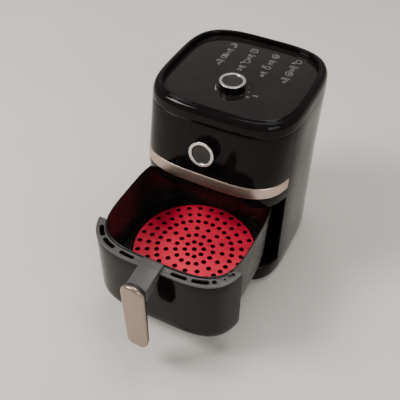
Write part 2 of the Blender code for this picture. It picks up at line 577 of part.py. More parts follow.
SLOTS = ((-49.4, 3.4, 3.0), (-37.2, 4.0, 3.0), (-21.2, 4.4, 3.0), (20.8, 4.4, 3.0), (34.9, 4.0, 3.0), (43.4, 0.5, 2.4),
         (50.2, 0.15, 3.4), (56.4, 0.3, 1.8))
cut(collar, [slot_cut("s%d" % k, a, h, w) for k, (a, h, w) in enumerate(SLOTS)])
prof = [(34, Z_PAN0), (9.5, Z_PAN0), (5.0, 62.4), (3.0, 68), (2.1, 76), (0.7, 96), (-1.2, 150), (-1.6, 178), (-2.4, 180.4),
        (-2.6, 182.3), (-1.7, Z_PAN1), (-0.7, 182.8), (0, 180), (0.4, 150), (2.3, 96), (3.7, 76), (4.7, 70), (6.8, 64.6),
        (11, 61.8), (34, 61.6)]
loft("pan", [[pan_pt(t, z, d) for t in FULL] for d, z in prof], "nonstick", drawer)
box("switch_tab", (104.4, -79.6, 181.8), (109.6, -76.8, 187.3), "grey_plastic", drawer, bev=0.5)
# handle: bridge over the collar, black grip and metal-look cover
def side_prism(name, poly, x0, x1, finish, bev):
    """Section in (y, z) drawn across the width with chamfered cheeks."""
    R = Matrix(((0, 0, 1), (1, 0, 0), (0, 1, 0)))
    ob = prism(name, poly, x0, x1, finish, drawer, bev=bev)
    for v in ob.data.vertices:
        v.co = R @ v.co
    bm = bmesh.new()
    bm.from_mesh(ob.data)
    bmesh.ops.recalc_face_normals(bm, faces=bm.faces)
    bm.to_mesh(ob.data)
    bm.free()
    return ob
side_prism("handle_bridge", [(-107.0, 181.8), (-121.3, 181.8), (-121.4, 172.0), (-138.0, 165.0), (-159.1, 158.0),
                             (-159.1, 181.0), (-157.0, 183.1), (-140.0, 185.6), (-125.0, 187.0), (-119.0, 187.3),
                             (-108.5, 187.3), (-107.0, 185.8)][::-1],
           -16.6, 16.6, "grey_plastic", 1.2)
def front_outline(z0, z1, w0, w1, r0, r1, n=6):
    """Front view of the grip: wider top with rounded corners, narrower rounded bottom."""
    pts = []
    for (cx, cz, r, a0) in ((w0 / 2 - r0, z1 - r0, r0, 0.0), (-w0 / 2 + r0, z1 - r0, r0, 0.5 * math.pi),
                            (-w1 / 2 + r1, z0 + r1, r1, math.pi), (w1 / 2 - r1, z0 + r1, r1, 1.5 * math.pi)):
        for k in range(n + 1):
            a = a0 + 0.5 * math.pi * k / n
            pts.append((cx + r * math.cos(a), cz + r * math.sin(a)))
    return pts
def grip(name, lay, finish):
    rings = [[(x, y, z) for x, z in front_outline(HANDLE_Z0 + d, HANDLE_Z1 - d, HANDLE_W0 - 2 * d, HANDLE_W1 - 2 * d,
                                                  18.4 - d, 15.0 - d)] for y, d in lay]
    return loft(name, rings, finish, drawer)
grip("handle_grip", [(-159.5, 3.2), (-160.9, 1.9), (-165.9, 1.6)], "black_plastic")
grip("handle_cover", [(-166.3, 0.0), (-168.2, 0.0), (-170.3, 0.7), (-171.8, 2.4), (HANDLE_Y, 5.0)], "champagne")
# crisper plate on four soft feet, with the mat on it
plate = empty("plate_axis", (0, PAN_YC, 0), drawer)
def plate_pt(th, z, d):
    r = sup_r(th, PAN_A - d, PAN_B - d, PAN_N)
    return (r * math.cos(th), r * math.sin(th), z)
pl = loft("crisper_plate", [[plate_pt(t, z, d) for t in FULL] for d, z in
                            ((30, 86.8), (9.5, 86.8), (7.0, 82.5), (5.2, 82.5), (4.2, 88.6), (5.0, Z_PLATE), (30, Z_PLATE))],
          "nonstick", plate)
hol = []
for i in range(-3, 4):
    for j in (-1, 1):
        hol.append(box("h%d%d" % (i + 3, j + 1), (i * 24 - 2.6, j * 84 - 7, 80), (i * 24 + 2.6, j * 84 + 7, 95), "steel", plate))
cut(pl, hol)
for k, (x, y) in enumerate(((-72, -68), (72, -68), (-72, 68), (72, 68))):
    lathe("plate_foot_%d" % (k + 1), [(0, 62.1), (5.0, 62.1), (6.0, 63.4), (6.6, 86.4), (0, 86.4)], "rubber", 16, (x, y, 0), parent=plate)
lathe("silicone_mat", [(0, 90.6), (MAT_R - 1.0, 90.6), (MAT_R, 91.8), (MAT_R - 0.4, 94.6), (MAT_R - 1.6, 95.2), (0, 95.2)],
      "silicone", 48, (MAT_X, MAT_Y - PAN_YC, 0), parent=plate, origin=(MAT_X, MAT_Y - PAN_YC, 90.6))
bpy.context.view_layer.update()
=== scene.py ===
"""Visual model of a basket air fryer with its drawer drawn out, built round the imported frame."""
import math, random
import bpy, bmesh
import numpy as np
from mathutils import Vector, Matrix


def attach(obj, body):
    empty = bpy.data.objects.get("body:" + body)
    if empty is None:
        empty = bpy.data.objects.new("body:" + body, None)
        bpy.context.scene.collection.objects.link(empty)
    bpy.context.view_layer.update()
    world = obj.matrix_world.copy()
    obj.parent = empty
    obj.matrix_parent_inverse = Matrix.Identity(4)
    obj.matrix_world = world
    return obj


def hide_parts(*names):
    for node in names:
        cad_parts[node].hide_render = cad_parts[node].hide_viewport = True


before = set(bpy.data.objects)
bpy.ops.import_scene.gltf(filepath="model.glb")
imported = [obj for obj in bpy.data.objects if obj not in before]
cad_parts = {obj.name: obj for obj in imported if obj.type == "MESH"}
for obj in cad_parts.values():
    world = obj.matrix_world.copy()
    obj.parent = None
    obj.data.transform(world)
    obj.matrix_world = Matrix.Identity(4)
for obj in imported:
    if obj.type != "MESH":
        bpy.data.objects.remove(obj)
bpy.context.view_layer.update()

MM = 0.001
DY = 99.95                      # body axis in the row frame, mm
OPEN = 163.8                   # drawer draw-out at rest, mm

# ------------------------------------------------------------------ dimensions (mm, body axes)
Z_BODY0, Z_PLINTH, Z_LIP, Z_BAND0, Z_BAND1, Z_SEAM = 8.0, 37.6, 188.0, 208.7, 227.5, 312.3
Z_RIDGE, Z_PANEL, Z_DIAL = 338.1, 329.0, 342.4
T, GAP = 2.5, 0.4
SPLIT = math.radians(27.8)
Z_SHELL0, Z_COLLAR = 45.5, 181.4
PAN_A, PAN_B, PAN_N, PAN_YC = 111.4, 107.2, 3.8, 4.2
Z_PAN0, Z_PAN1, Z_PLATE = 60.0, 183.2, 90.0
MAT_R, MAT_X, MAT_Y = 101.5, 6.2, 6.9
DIAL_R, TEMP_Y, TIMER_Z, FAN_Y = 20.7, -18.5, 271.4, 22.0
HANDLE_Y, HANDLE_W0, HANDLE_W1, HANDLE_Z0, HANDLE_Z1 = -172.5, 38.5, 36.0, 50.0, 196.0

def lerp(z, zs, vs):
    if z <= zs[0]:
        return vs[0]
    for i in range(1, len(zs)):
        if z <= zs[i]:
            t = (z - zs[i - 1]) / (zs[i] - zs[i - 1])
            return vs[i - 1] + t * (vs[i] - vs[i - 1])
    return vs[-1]

ZK = (0.0, Z_BAND0, Z_SEAM)
def outline(z):
    return (lerp(z, ZK, (125.1, 125.5, 123.7)), lerp(z, ZK, (0.6, 0.0, 16.9)),
            lerp(z, ZK, (120.2, 120.9, 119.0)), lerp(z, ZK, (4.1, 3.69, 3.69)),
            lerp(z, ZK, (132.0, 133.0, 119.0)), lerp(z, ZK, (3.7, 3.3, 3.69)))

def sup_r(th, a, b, n):
    c, s = abs(math.cos(th)), abs(math.sin(th))
    return 1.0 / ((c / a) ** n + (s / b) ** n) ** (1.0 / n)

_ROOT = {}
def body_pt(th, z, inset=0.0):
    key = (round(th, 7), round(z, 4), round(inset, 4))
    if key in _ROOT:
        return _ROOT[key]
    a, yc, bf, nf, br, nr = outline(z)
    c, s = math.cos(th), math.sin(th)
    lo, hi = 20.0, 220.0
    for _ in range(34):
        r = 0.5 * (lo + hi)
        x, y = abs(r * c), r * s - yc
        b, n = (bf, nf) if y <= 0 else (br, nr)
        if (x / (a - inset)) ** n + (abs(y) / (b - inset)) ** n < 1.0:
            lo = r
        else:
            hi = r
    _ROOT[key] = (lo * c, lo * s, z)
    return _ROOT[key]

def even_angles(t0, t1, n, a=125.0, b=122.0, p=3.7, bias=0.5):
    m = 900
    ts = [t0 + (t1 - t0) * i / m for i in range(m + 1)]
    pts = [(sup_r(t, a, b, p) * math.cos(t), sup_r(t, a, b, p) * math.sin(t)) for t in ts]
    acc, prev = [0.0], None
    for i in range(m):
        dx, dy = pts[i + 1][0] - pts[i][0], pts[i + 1][1] - pts[i][1]
        ang = math.atan2(dy, dx)
        turn = 0.0
        if prev is not None:
            turn = abs((ang - prev + math.pi) % (2 * math.pi) - math.pi)
        prev = ang
        acc.append(acc[-1] + (1 - bias) * math.hypot(dx, dy) / 800.0 + bias * turn / (2 * math.pi))
    out, j = [], 0
    for k in range(n + 1):
        target = acc[-1] * k / n
        while j < m - 1 and acc[j + 1] < target:
            j += 1
        f = (target - acc[j]) / max(acc[j + 1] - acc[j], 1e-12)
        out.append(ts[j] + (ts[j + 1] - ts[j]) * min(max(f, 0.0), 1.0))
    return out

def pan_pt(th, z, d):
    r = sup_r(th, PAN_A - d, PAN_B - d, PAN_N)
    return (r * math.cos(th), PAN_YC + r * math.sin(th), z)

# ------------------------------------------------------------------ mesh helpers
def to_row(verts, drawer=False):
    off = DY - (OPEN if drawer else 0.0)
    return [((x) * MM, (y + off) * MM, z * MM) for x, y, z in verts]

def mesh_obj(name, verts, faces, mat, body, repl=(), drawer=False, sharp=35.0, fix=True):
    me = bpy.data.meshes.new(name)
    me.from_pydata(to_row(verts, drawer), [], faces)
    if fix:
        bm = bmesh.new()
        bm.from_mesh(me)
        bmesh.ops.remove_doubles(bm, verts=bm.verts, dist=1e-7)
        bmesh.ops.recalc_face_normals(bm, faces=bm.faces)
        if bm.calc_volume(signed=True) < 0:
            bmesh.ops.reverse_faces(bm, faces=bm.faces)
        bm.to_mesh(me)
        bm.free()
    ob = bpy.data.objects.new(name, me)
    bpy.context.collection.objects.link(ob)
    finish_obj(ob, mat, body, repl, sharp)
    return ob

def finish_obj(ob, mat, body, repl=(), sharp=35.0):
    me = ob.data
    me.materials.clear()
    me.materials.append(mat)
    for p in me.polygons:
        p.use_smooth = True
    me.set_sharp_from_angle(angle=math.radians(sharp))
    if body:
        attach(ob, body)
    if repl:
        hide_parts(*repl)

def fillet(poly, radii, seg=5, closed=True):
    """Rounds each corner of a plan polygon with its own radius."""
    n = len(poly)
    out = []
    for i in range(n):
        p = Vector(poly[i])
        r = radii[i] if isinstance(radii, (list, tuple)) else radii
        if r <= 0 or (not closed and i in (0, n - 1)):
            out.append(tuple(p))
            continue
        a, b = Vector(poly[i - 1]) - p, Vector(poly[(i + 1) % n]) - p
        la, lb = a.length, b.length
        a.normalize(); b.normalize()
        ang = math.acos(max(-1.0, min(1.0, a.dot(b))))
        if ang > math.radians(178) or ang < 0.02:
            out.append(tuple(p))
            continue
        d = min(r / math.tan(ang / 2), la * 0.48, lb * 0.48)
        rr = d * math.tan(ang / 2)
        c = p + (a + b).normalized() * (rr / math.sin(ang / 2))
        s, e = p + a * d - c, p + b * d - c
        a0, a1 = math.atan2(s.y, s.x), math.atan2(e.y, e.x)
        da = (a1 - a0 + math.pi) % (2 * math.pi) - math.pi
        for k in range(seg + 1):
            t = a0 + da * k / seg
            out.append((c.x + rr * math.cos(t), c.y + rr * math.sin(t)))
    return out

def densify(poly, maxlen, closed=True):
    out = []
    n = len(poly)
    for i in range(n if closed else n - 1):
        a, b = poly[i], poly[(i + 1) % n]
        L = math.hypot(b[0] - a[0], b[1] - a[1])
        m = max(1, int(math.ceil(L / maxlen)))
        for k in range(m):
            out.append((a[0] + (b[0] - a[0]) * k / m, a[1] + (b[1] - a[1]) * k / m))
    if not closed:
        out.append(poly[-1])
    return out

def seam_y(z):
    return -64.2 if z < Z_BAND0 else -64.2 + 0.15 * (z - Z_BAND0)

_SA = {}
def seam_angle(z, off, inset):
    """Polar angle (below the +X axis) where the outline at z meets the raked joint plane."""
    key = (round(z, 3), off, round(inset, 3))
    if key in _SA:
        return _SA[key]
    lo, hi = math.radians(5), math.radians(60)
    for _ in range(30):
        t = 0.5 * (lo + hi)
        if body_pt(-t, z, inset)[1] > seam_y(z) + off:
            lo = t
        else:
            hi = t
    _SA[key] = lo
    return lo

def sweep(prof, n, span, ptf=body_pt):
    """(inset, z) section carried round; span(z, inset) -> (start, end) angles, or None for closed."""
    m = len(prof)
    verts, faces = [], []
    base = even_angles(0, 1, 10)[:0]
    cache = {}
    def angs(z, i):
        if span is None:
            k = 'c'
            if k not in cache:
                cache[k] = even_angles(0.0, 2 * math.pi, n)[:-1]
            return cache[k]
        a0, a1 = span(z, i)
        k = (round(a0, 5), round(a1, 5))
        if k not in cache:
            cache[k] = even_angles(a0, a1, n - 1)
        return cache[k]
    cols = [angs(z, i) for (i, z) in prof]
    N = len(cols[0])
    for k in range(N):
        for j, (i, z) in enumerate(prof):
            verts.append(ptf(cols[j][k], z, i))
    for k in range(N if span is None else N - 1):
        k2 = (k + 1) % N
        for j in range(m):
            j2 = (j + 1) % m
            faces.append((k * m + j, k * m + j2, k2 * m + j2, k2 * m + j))
    if span is not None:
        faces.append(tuple(range(m)))
        faces.append(tuple((N - 1) * m + j for j in reversed(range(m))))
    return verts, faces

def loft(rings, cap=True):
    m = len(rings[0])
    verts = [p for r in rings for p in r]
    faces = []
    for k in range(len(rings) - 1):
        for j in range(m):
            j2 = (j + 1) % m
            faces.append((k * m + j, k * m + j2, (k + 1) * m + j2, (k + 1) * m + j))
    if cap:
        faces.append(tuple(reversed(range(m))))
        faces.append(tuple((len(rings) - 1) * m + j for j in range(m)))
    return verts, faces

def lathe(prof, n=96, at=(0, 0, 0), rot=None):
    R = rot if rot is not None else Matrix.Identity(3)
    c = Vector(at)
    verts, idx = [], []
    for (r, z) in prof:
        if r < 1e-6:
            idx.append([len(verts)] * n)
            verts.append(tuple(c + R @ Vector((0, 0, z))))
        else:
            row = []
            for k in range(n):
                t = 2 * math.pi * k / n
                row.append(len(verts))
                verts.append(tuple(c + R @ Vector((r * math.cos(t), r * math.sin(t), z))))
            idx.append(row)
    faces = []
    m = len(prof)
    for j in range(m):
        a, b = idx[j], idx[(j + 1) % m]
        if a[0] == a[-1] and b[0] == b[-1]:
            continue
        for k in range(n):
            k2 = (k + 1) % n
            f = []
            for v in (a[k], b[k], b[k2], a[k2]):
                if v not in f:
                    f.append(v)
            if len(f) > 2:
                faces.append(tuple(f))
    return verts, faces

def boolean(ob, cutter_list, op='DIFFERENCE'):
    for verts, faces, drawer in cutter_list:
        me = bpy.data.meshes.new("tool")
        me.from_pydata(to_row(verts, drawer), [], faces)
        bm = bmesh.new(); bm.from_mesh(me)
        bmesh.ops.recalc_face_normals(bm, faces=bm.faces)
        if bm.calc_volume(signed=True) < 0:
            bmesh.ops.reverse_faces(bm, faces=bm.faces)
        bm.to_mesh(me); bm.free()
        c = bpy.data.objects.new("tool", me)
        bpy.context.collection.objects.link(c)
        md = ob.modifiers.new("cut", "BOOLEAN")
        md.operation, md.solver, md.object = op, 'EXACT', c
        bpy.context.view_layer.update()
        dg = bpy.context.evaluated_depsgraph_get()
        new = bpy.data.meshes.new_from_object(ob.evaluated_get(dg))
        ob.modifiers.remove(md)
        old = ob.data
        ob.data = new
        bpy.data.meshes.remove(old)
        bpy.data.objects.remove(c, do_unlink=True)
        bpy.data.meshes.remove(me)
    return ob

def bevel_mod(ob, w_mm, seg=2, ang=40):
    md = ob.modifiers.new("edge_round", "BEVEL")
    md.width = w_mm * MM
    md.segments = seg
    md.limit_method = 'ANGLE'
    md.angle_limit = math.radians(ang)
    md.harden_normals = False
    return md

def box_vf(lo, hi):
    x0, y0, z0 = lo; x1, y1, z1 = hi
    v = [(x0, y0, z0), (x1, y0, z0), (x1, y1, z0), (x0, y1, z0), (x0, y0, z1), (x1, y0, z1), (x1, y1, z1), (x0, y1, z1)]
    f = [(0, 3, 2, 1), (4, 5, 6, 7), (0, 1, 5, 4), (1, 2, 6, 5), (2, 3, 7, 6), (3, 0, 4, 7)]
    return v, f

# ------------------------------------------------------------------ materials
def new_mat(name):
    m = bpy.data.materials.new(name)
    m.use_nodes = True
    t = m.node_tree
    b = t.nodes["Principled BSDF"]
    return m, t, b

def nd(t, kind, **kw):
    n = t.nodes.new(kind)
    for k, v in kw.items():
        if k.startswith("i_"):
            n.inputs[k[2:].replace("_", " ")].default_value = v
        else:
            setattr(n, k, v)
    return n

def coords(t, scale=(1, 1, 1), rot=(0, 0, 0), loc=(0, 0, 0)):
    tc = nd(t, "ShaderNodeTexCoord")
    mp = nd(t, "ShaderNodeMapping")
    mp.inputs["Scale"].default_value = scale
    mp.inputs["Rotation"].default_value = rot
    mp.inputs["Location"].default_value = loc
    t.links.new(tc.outputs["Object"], mp.inputs["Vector"])
    return mp.outputs["Vector"]

def noise(t, vec, scale, detail=3.0, rough=0.55, distort=0.0):
    n = nd(t, "ShaderNodeTexNoise")
    n.inputs["Scale"].default_value = scale
    n.inputs["Detail"].default_value = detail
    n.inputs["Roughness"].default_value = rough
    n.inputs["Distortion"].default_value = distort
    t.links.new(vec, n.inputs["Vector"])
    return n.outputs["Fac"]

def remap(t, fac, lo, hi, out0, out1):
    r = nd(t, "ShaderNodeMapRange")
    r.inputs["From Min"].default_value = lo
    r.inputs["From Max"].default_value = hi
    r.inputs["To Min"].default_value = out0
    r.inputs["To Max"].default_value = out1
    t.links.new(fac, r.inputs["Value"])
    return r.outputs["Result"]

def ramp(t, fac, stops):
    r = nd(t, "ShaderNodeValToRGB")
    e = r.color_ramp.elements
    while len(e) < len(stops):
        e.new(0.5)
    for k, (p, c) in enumerate(stops):
        e[k].position = p
        e[k].color = (c[0], c[1], c[2], 1.0)
    t.links.new(fac, r.inputs["Fac"])
    return r.outputs["Color"]

def bump(t, fac, dist_mm, strength=1.0, normal=None):
    b = nd(t, "ShaderNodeBump")
    b.inputs["Strength"].default_value = strength
    b.inputs["Distance"].default_value = dist_mm * MM
    t.links.new(fac, b.inputs["Height"])
    if normal is not None:
        t.links.new(normal, b.inputs["Normal"])
    return b.outputs["Normal"]

def gloss_mat(name, base, r0=0.07, r1=0.17, coat=0.4, peel=0.012, dust=0.35, peel_scale=420.0, ior=1.34, spec=0.25):
    """Moulded high-gloss plastic: orange peel, faint wiping smears, a few dust specks."""
    m, t, b = new_mat(name)
    v = coords(t)
    smear = noise(t, coords(t, (1.0, 1.0, 0.35)), 26.0, 5.0, 0.6, 0.8)
    fine = noise(t, v, peel_scale, 2.0, 0.5)
    speck = noise(t, v, 2600.0, 1.0, 0.4)
    sp = remap(t, speck, 0.735, 0.775, 0.0, dust)
    mix = nd(t, "ShaderNodeMix", data_type='RGBA')
    t.links.new(sp, mix.inputs["Factor"])
    col = ramp(t, smear, [(0.3, [c * 0.85 for c in base]), (0.7, [c * 1.35 for c in base])])
    t.links.new(col, mix.inputs["A"])
    mix.inputs["B"].default_value = (0.16, 0.15, 0.14, 1.0)
    t.links.new(mix.outputs["Result"], b.inputs["Base Color"])
    rr = remap(t, smear, 0.3, 0.75, r0, r1)
    add = nd(t, "ShaderNodeMath", operation='ADD')
    t.links.new(rr, add.inputs[0])
    mul = nd(t, "ShaderNodeMath", operation='MULTIPLY')
    t.links.new(sp, mul.inputs[0]); mul.inputs[1].default_value = 0.35
    t.links.new(mul.outputs[0], add.inputs[1])
    t.links.new(add.outputs[0], b.inputs["Roughness"])
    t.links.new(bump(t, fine, peel), b.inputs["Normal"])
    b.inputs["Coat Weight"].default_value = coat
    b.inputs["Coat Roughness"].default_value = 0.03
    b.inputs["IOR"].default_value = ior
    b.inputs["Specular IOR Level"].default_value = spec
    return m

def matte_mat(name, base, r0=0.36, r1=0.5, grain=2200.0, depth=0.02, var=0.25, coat=0.0, spec=0.5):
    """Spark-textured moulded plastic or rubber: fine grain with slow tone and gloss changes."""
    m, t, b = new_mat(name)
    v = coords(t)
    slow = noise(t, v, 30.0, 4.0, 0.6, 0.4)
    fine = noise(t, v, grain, 2.0, 0.6)
    col = ramp(t, slow, [(0.25, [c * (1 - var) for c in base]), (0.75, [c * (1 + var) for c in base])])
    sh = nd(t, "ShaderNodeMix", data_type='RGBA', blend_type='MULTIPLY')
    sh.inputs["Factor"].default_value = 0.35
    t.links.new(col, sh.inputs["A"])
    t.links.new(ramp(t, fine, [(0.3, (0.72, 0.72, 0.72)), (0.7, (1.0, 1.0, 1.0))]), sh.inputs["B"])
    t.links.new(sh.outputs["Result"], b.inputs["Base Color"])
    t.links.new(remap(t, slow, 0.25, 0.75, r0, r1), b.inputs["Roughness"])
    t.links.new(bump(t, fine, depth), b.inputs["Normal"])
    b.inputs["Coat Weight"].default_value = coat
    b.inputs["Coat Roughness"].default_value = 0.2
    b.inputs["Specular IOR Level"].default_value = spec
    return m

def brushed_mat(name, base, scale, r0=0.24, r1=0.42, depth=0.006, var=0.16):
    """Brushed metal finish, its grain drawn out along the axis with the small scale."""
    m, t, b = new_mat(name)
    v = coords(t, scale)
    g = noise(t, v, 1.0, 4.0, 0.65)
    g2 = noise(t, coords(t, tuple(s * 3.1 for s in scale)), 1.0, 2.0, 0.6)
    slow = noise(t, coords(t), 22.0, 3.0, 0.5)
    avg = nd(t, "ShaderNodeMath", operation='MULTIPLY_ADD')
    t.links.new(g2, avg.inputs[0]); avg.inputs[1].default_value = 0.4
    t.links.new(g, avg.inputs[2])
    col = ramp(t, avg.outputs[0], [(0.45, [c * (1 - var) for c in base]), (0.95, [min(1.0, c * (1 + var)) for c in base])])
    t.links.new(col, b.inputs["Base Color"])
    rr = remap(t, avg.outputs[0], 0.45, 0.95, r1, r0)
    sm = nd(t, "ShaderNodeMath", operation='ADD')
    t.links.new(rr, sm.inputs[0])
    t.links.new(remap(t, slow, 0.3, 0.7, -0.03, 0.05), sm.inputs[1])
    t.links.new(sm.outputs[0], b.inputs["Roughness"])
    t.links.new(bump(t, avg.outputs[0], depth), b.inputs["Normal"])
    b.inputs["Metallic"].default_value = 1.0
    return m

def spun_mat(name, base, centre_mm, r0, r1, depth, metal, period=2600.0, var=0.15):
    """Finish turned in fine circles about a centre."""
    m, t, b = new_mat(name)
    tc = nd(t, "ShaderNodeTexCoord")
    sub = nd(t, "ShaderNodeVectorMath", operation='SUBTRACT')
    sub.inputs[1].default_value = tuple(c * MM for c in centre_mm)
    t.links.new(tc.outputs["Object"], sub.inputs[0])
    ln = nd(t, "ShaderNodeVectorMath", operation='LENGTH')
    t.links.new(sub.outputs["Vector"], ln.inputs[0])
    n = nd(t, "ShaderNodeTexNoise", noise_dimensions='1D')
    n.inputs["Scale"].default_value = period
    n.inputs["Detail"].default_value = 3.0
    t.links.new(ln.outputs["Value"], n.inputs["W"])
    slow = noise(t, tc.outputs["Object"], 160.0, 3.0, 0.6)
    col = ramp(t, n.outputs["Fac"], [(0.3, [c * (1 - var) for c in base]), (0.7, [min(1, c * (1 + var)) for c in base])])
    t.links.new(col, b.inputs["Base Color"])
    t.links.new(remap(t, slow, 0.3, 0.7, r0, r1), b.inputs["Roughness"])
    t.links.new(bump(t, n.outputs["Fac"], depth), b.inputs["Normal"])
    b.inputs["Metallic"].default_value = metal
    return m

def nonstick_mat(name, base=(0.011, 0.0095, 0.009)):
    """Two-layer non-stick coat: fine pebbling, pale flecks, satin gloss with rub marks."""
    m, t, b = new_mat(name)
    v = coords(t)
    slow = noise(t, v, 35.0, 5.0, 0.6, 0.6)
    peb = noise(t, v, 900.0, 3.0, 0.6)
    fleck = noise(t, v, 1900.0, 1.0, 0.4)
    f = remap(t, fleck, 0.70, 0.74, 0.0, 0.5)
    mix = nd(t, "ShaderNodeMix", data_type='RGBA')
    t.links.new(f, mix.inputs["Factor"])
    t.links.new(ramp(t, slow, [(0.3, [c * 0.8 for c in base]), (0.7, [c * 1.4 for c in base])]), mix.inputs["A"])
    mix.inputs["B"].default_value = (0.07, 0.068, 0.066, 1.0)
    t.links.new(mix.outputs["Result"], b.inputs["Base Color"])
    t.links.new(remap(t, slow, 0.3, 0.7, 0.22, 0.36), b.inputs["Roughness"])
    t.links.new(bump(t, peb, 0.007), b.inputs["Normal"])
    b.inputs["IOR"].default_value = 1.42
    return m

def silicone_mat_fn(name, base=(0.82, 0.016, 0.062)):
    """Matt silicone: slightly cloudy red, faint bloom, moulded-in fine grain."""
    m, t, b = new_mat(name)
    v = coords(t)
    slow = noise(t, v, 18.0, 4.0, 0.55, 0.3)
    grain = noise(t, v, 1500.0, 2.0, 0.5)
    col = ramp(t, slow, [(0.25, [c * 0.86 for c in base]), (0.75, [min(1.0, c * 1.12) for c in base])])
    t.links.new(col, b.inputs["Base Color"])
    t.links.new(remap(t, slow, 0.3, 0.7, 0.40, 0.52), b.inputs["Roughness"])
    t.links.new(bump(t, grain, 0.012), b.inputs["Normal"])
    b.inputs["Subsurface Weight"].default_value = 0.12
    b.inputs["Subsurface Radius"].default_value = (0.004, 0.0008, 0.0008)
    b.inputs["Sheen Weight"].default_value = 0.03
    b.inputs["Sheen Roughness"].default_value = 0.5
    b.inputs["Specular IOR Level"].default_value = 0.32
    return m

def ink_mat(name, base=(0.55, 0.51, 0.48)):
    m, t, b = new_mat(name)
    n = noise(t, coords(t), 1400.0, 3.0, 0.6)
    t.links.new(ramp(t, n, [(0.3, [c * 0.82 for c in base]), (0.7, [c * 1.08 for c in base])]), b.inputs["Base Color"])
    t.links.new(remap(t, n, 0.3, 0.7, 0.38, 0.52), b.inputs["Roughness"])
    return m

LEAN = math.atan2(16.9 + 1.9, Z_SEAM - Z_BAND0)
TIM_N = Vector((0, -math.cos(LEAN), math.sin(LEAN)))
TIM_R = Matrix((Vector((1, 0, 0)), TIM_N.cross(Vector((1, 0, 0))), TIM_N)).transposed()
TIM_P = Vector(body_pt(1.5 * math.pi, TIMER_Z))
TIM_TOP = TIM_P + TIM_N * 14.6

M = {}
M["gloss"] = gloss_mat("gloss_black_plastic", (0.0042, 0.0036, 0.0034), 0.035, 0.09, 0.0, 0.006)
M["gloss_drawer"] = gloss_mat("gloss_black_drawer", (0.0045, 0.0037, 0.0035), 0.035, 0.10, 0.0, 0.006)
M["panel"] = gloss_mat("panel_gloss", (0.0100, 0.0080, 0.0075), 0.03, 0.08, 0.0, 0.002, 0.35, 200.0, 1.44, 0.5)
M["grey"] = matte_mat("grey_plastic", (0.068, 0.061, 0.060), 0.34, 0.46, 2400.0, 0.018, 0.14)
M["black"] = matte_mat("black_plastic", (0.020, 0.019, 0.019), 0.38, 0.52, 2000.0, 0.02, 0.25)
M["band"] = brushed_mat("champagne_band", (0.53, 0.415, 0.352), (14, 14, 2600), 0.22, 0.40)
# handle cover: the band's champagne finish, tinted darker and warmer than the band as a painted reflection of the warm
# counter
M["cover"] = brushed_mat("champagne_cover_painted_reflection", (0.38, 0.295, 0.240), (2600, 60, 12), 0.24, 0.40)
M["ring_top"] = spun_mat("silver_ring_top", (0.80, 0.755, 0.725), (0, TEMP_Y + DY, Z_DIAL), 0.24, 0.36, 0.004, 1.0)
M["ring_front"] = spun_mat("silver_ring_front", (0.80, 0.755, 0.725), (TIM_TOP.x, TIM_TOP.y + DY, TIM_TOP.z), 0.24, 0.36, 0.004, 1.0)
M["cap_top"] = spun_mat("cap_top", (0.019, 0.0155, 0.014), (0, TEMP_Y + DY, Z_DIAL - 2), 0.26, 0.38, 0.02, 0.0, 1500.0, 0.3)
M["cap_front"] = spun_mat("cap_front", (0.019, 0.0155, 0.014), (TIM_TOP.x, TIM_TOP.y + DY, TIM_TOP.z), 0.26, 0.38, 0.02, 0.0, 1500.0, 0.3)
M["nonstick"] = nonstick_mat("nonstick")
M["silicone"] = silicone_mat_fn("silicone_red")
M["rubber"] = matte_mat("rubber", (0.024, 0.024, 0.024), 0.6, 0.78, 1200.0, 0.03, 0.25)
M["ink"] = ink_mat("printed_marks", (0.26, 0.235, 0.215))
M["ink_dim"] = ink_mat("printed_marks_dim", (0.055, 0.050, 0.047))
M["steel"] = brushed_mat("steel", (0.58, 0.58, 0.59), (900, 900, 60), 0.25, 0.42)
M["heater"] = brushed_mat("heater_sheath", (0.20, 0.16, 0.14), (300, 300, 300), 0.38, 0.62, 0.02, 0.4)
M["alu"] = brushed_mat("aluminised", (0.62, 0.62, 0.63), (60, 60, 700), 0.30, 0.5, 0.01, 0.12)
M["white"] = matte_mat("white_plastic", (0.58, 0.56, 0.51), 0.4, 0.55, 1500.0, 0.02, 0.06)
M["brass"] = brushed_mat("brass", (0.66, 0.48, 0.22), (500, 500, 500), 0.24, 0.4, 0.005, 0.12)

# ------------------------------------------------------------------ body
N_FULL = 220
N_ARC = 130

def side_span(z, i):
    a = seam_angle(z, 0.35, i)
    return (-a, math.pi + a)
def front_span(z, i, off=-0.35):
    a = seam_angle(z, off, i)
    return (math.pi + a, 2 * math.pi - a)

prof = fillet([(0.15, Z_BODY0), (0, 30), (0.2, 70), (0, 208), (0, Z_SEAM), (T, Z_SEAM), (T, 208), (T, Z_BODY0)],
              [1.1, 0, 60, 0, 1.1, 0.3, 0, 0.6], 5)
prof = densify(prof, 26.0)
v, f = sweep(prof, int(N_ARC * 1.7), side_span)
o = mesh_obj("vis_side_shell", v, f, M["gloss"], None, (), sharp=40)
boolean(o, [box_vf((-46, 110, 214), (46, 150, 276)) + (False,)])
finish_obj(o, M["gloss"], "body", ("side_shell",), 40)

ZT = Z_SEAM + GAP
prof = fillet([(0, ZT), (0.25, 318.0), (1.3, 326.6), (4.0, 332.8), (7.6, 335.4), (9.6, 335.0), (10.9, 337.4), (12.3, Z_RIDGE),
               (14.6, 337.3), (15.0, 334.0), (15.0, 326.4), (22.0, 326.4), (22.0, 324.2), (12.6, 324.2), (12.4, 333.0),
               (8.0, 332.0), (4.4, 327.4), (2.9, ZT)],
              [0.45, 14, 12, 8, 3.0, 1.6, 1.4, 1.4, 0.9, 1.2, 0.2, 0.2, 0.2, 0.2, 1.0, 4.0, 4.0, 0.3], 6)
v, f = sweep(prof, N_FULL, None)
mesh_obj("vis_top_cover", v, f, M["gloss"], "body", ("top_cover",), sharp=50)

